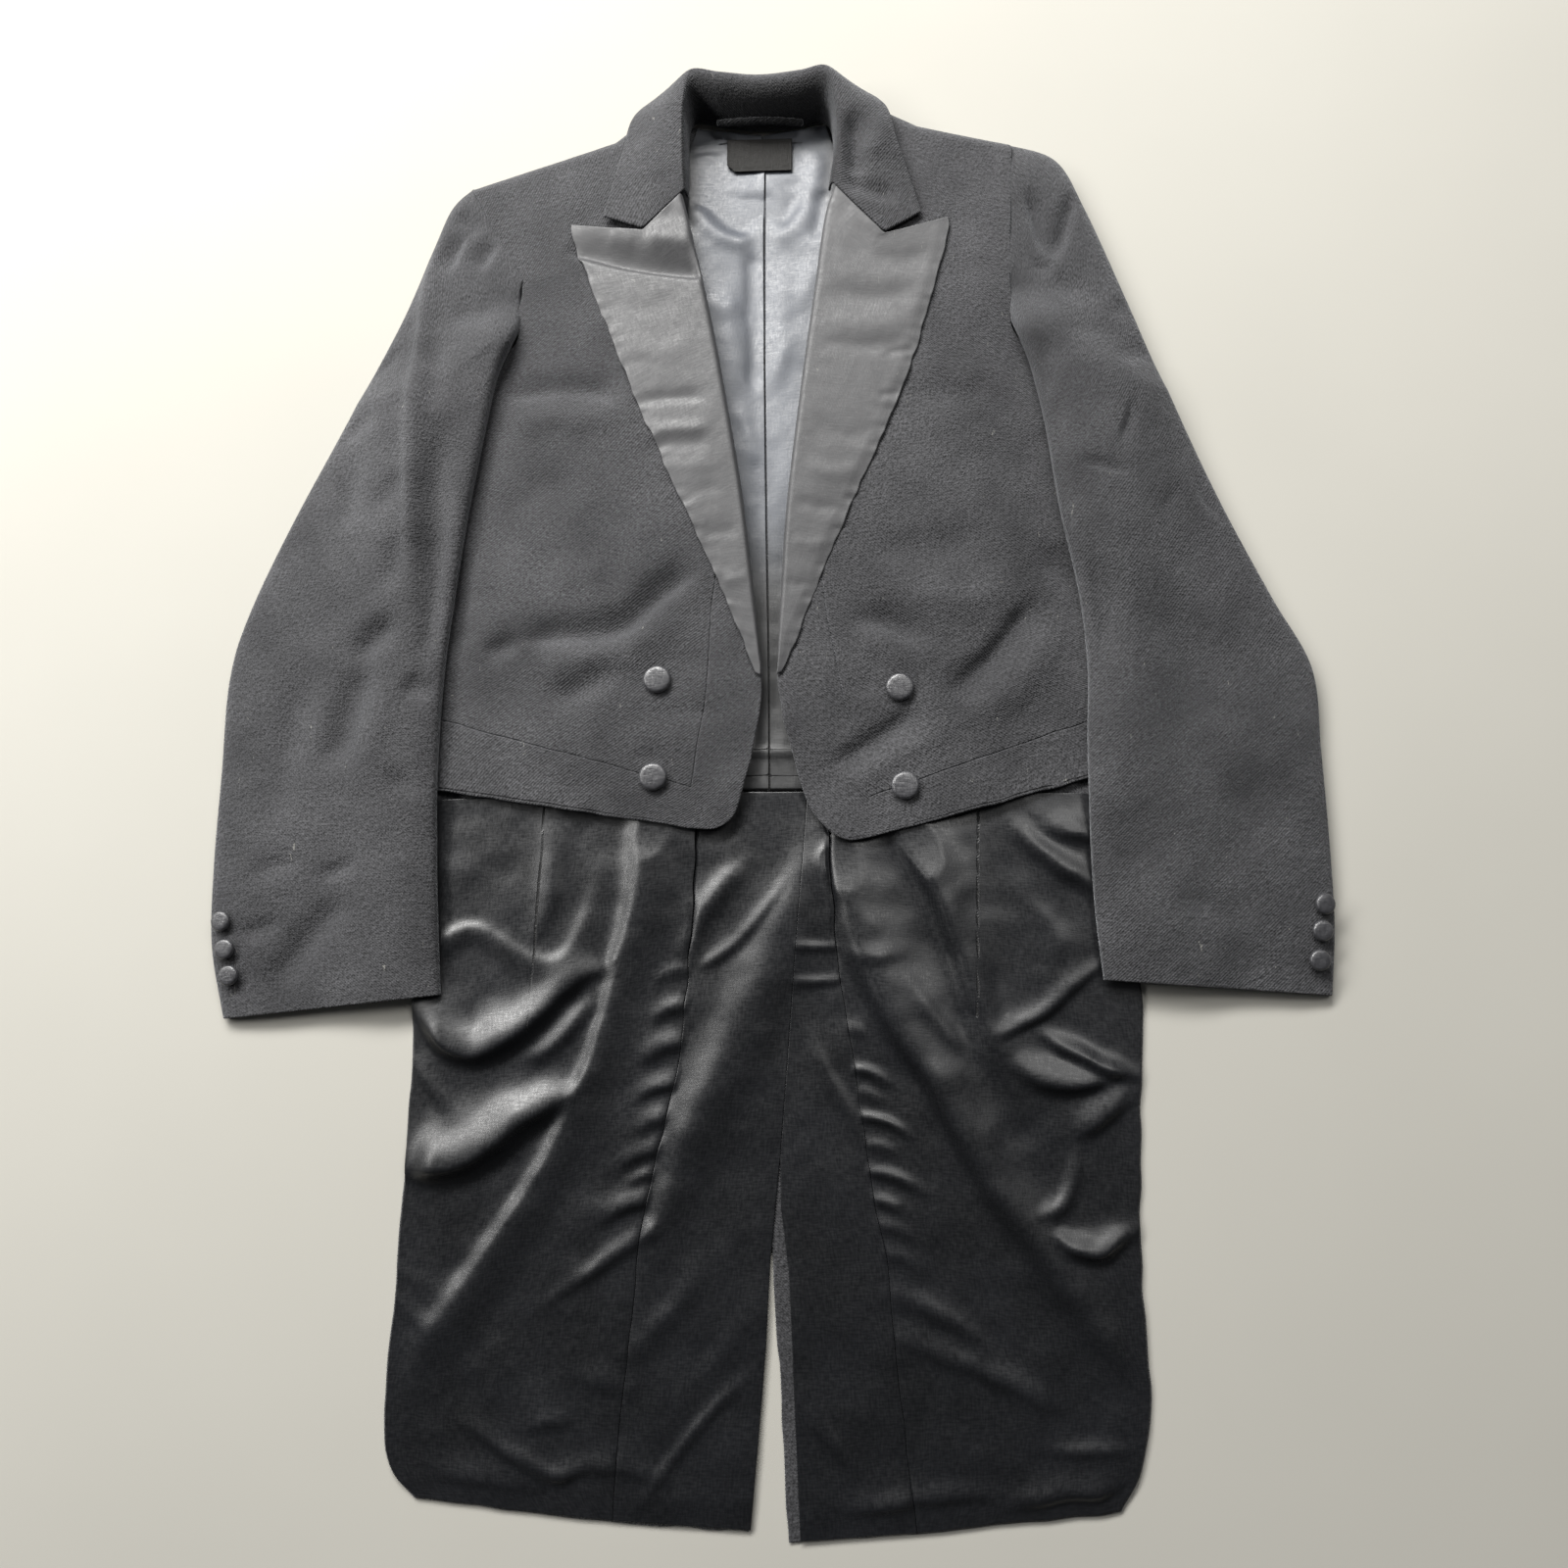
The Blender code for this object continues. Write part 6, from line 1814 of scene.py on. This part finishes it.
@dataclass
class Studio:
    """A pale floor, a large soft window light from the neck's side, and the camera above the coat."""

    camera_place: tuple = (0.049, -0.161, 0.84)
    tilt: float = 8.87
    swing: float = 2.29
    lens: float = 27.045
    floor_size: float = 6.0
    fill: float = 0.055

    def build(self) -> None:
        """Set the floor, the lights and the camera."""
        self.set_floor()
        self.set_lights()
        self.set_camera()

    def set_floor(self) -> None:
        """A plain matt floor just below the coat."""
        half = self.floor_size / 2 / MM
        z = -0.4
        points = np.array([(-half, -half, z), (half, -half, z), (half, half, z), (-half, half, z)])
        floor = mesh_object("floor", points, np.array([[0, 1, 2, 3]]))
        mat = bpy.data.materials.new("matt_paper_floor")
        mat.use_nodes = True
        tree = mat.node_tree
        shader = tree.nodes["Principled BSDF"]
        place = add(tree, "TexCoord").outputs["Object"]
        cloud = add(tree, "TexNoise", {"Vector": place, "Scale": 3.0, "Detail": 4.0})
        tone = add(tree, "Mix", {
            "Factor": cloud.outputs["Fac"], "A": linear("#a9a7a0"), "B": linear("#a19f98")}, data_type="RGBA")
        tree.links.new(tone.outputs["Result"], shader.inputs["Base Color"])
        shader.inputs["Roughness"].default_value = 0.9
        shader.inputs["Specular IOR Level"].default_value = 0.2
        floor.data.materials.append(mat)

    def set_lights(self) -> None:
        """One large area light for the window, and an even grey sky for fill."""
        scene = bpy.context.scene
        scene.view_settings.view_transform = "Standard"
        world = bpy.data.worlds.new("soft_room")
        world.use_nodes = True
        world.node_tree.nodes["Background"].inputs["Color"].default_value = (0.93, 0.96, 1.0, 1.0)
        world.node_tree.nodes["Background"].inputs["Strength"].default_value = self.fill
        scene.world = world
        for name, place, size, power in LAMPS:
            light = bpy.data.lights.new(name, "AREA")
            light.shape = "RECTANGLE"
            light.size, light.size_y = size
            light.energy = power
            light.color = (1.0, 0.99, 0.97)
            lamp = bpy.data.objects.new(name, light)
            lamp.location = place
            aim = Vector((0.0, -0.1, 0.0)) - Vector(place)
            lamp.rotation_euler = aim.to_track_quat("-Z", "Y").to_euler()
            scene.collection.objects.link(lamp)

    def set_camera(self) -> None:
        """The camera looks down, its top leaning from the coat by the tilt and its side by the swing."""
        t, s = math.radians(self.tilt), math.radians(self.swing)
        axis = Vector((-math.sin(s) * math.cos(t), math.sin(t), -math.cos(s) * math.cos(t))).normalized()
        right = axis.cross(Vector((0, 1, 0))).normalized()
        up = right.cross(axis)
        data = bpy.data.cameras.new("camera")
        data.lens = self.lens
        data.sensor_width = 36.0
        data.clip_start = 0.01
        camera = bpy.data.objects.new("camera", data)
        turn = Matrix((right, up, -axis)).transposed()
        camera.matrix_world = Matrix.Translation(self.camera_place) @ turn.to_4x4()
        bpy.context.scene.collection.objects.link(camera)
        bpy.context.scene.camera = camera


def main() -> None:
    """Build the coat's parts in order, then the studio."""
    logging.basicConfig(level=logging.INFO, format="%(message)s")
    for side in Side:
        Back(side).build()
    BodyLining().build()
    NeckLabel().build()
    HangerLoop().build()
    for side in Side:
        Front(side).build()
        Lapel(side).build()
        Sleeve(side).build()
    Collar().build()
    for node in FRONT_BUTTONS:
        CoveredButton(node, 20.0).build()
    for node in CUFF_BUTTONS:
        CoveredButton(node, 14.5).build()
    Studio().build()


if __name__ == "__main__":
    main()
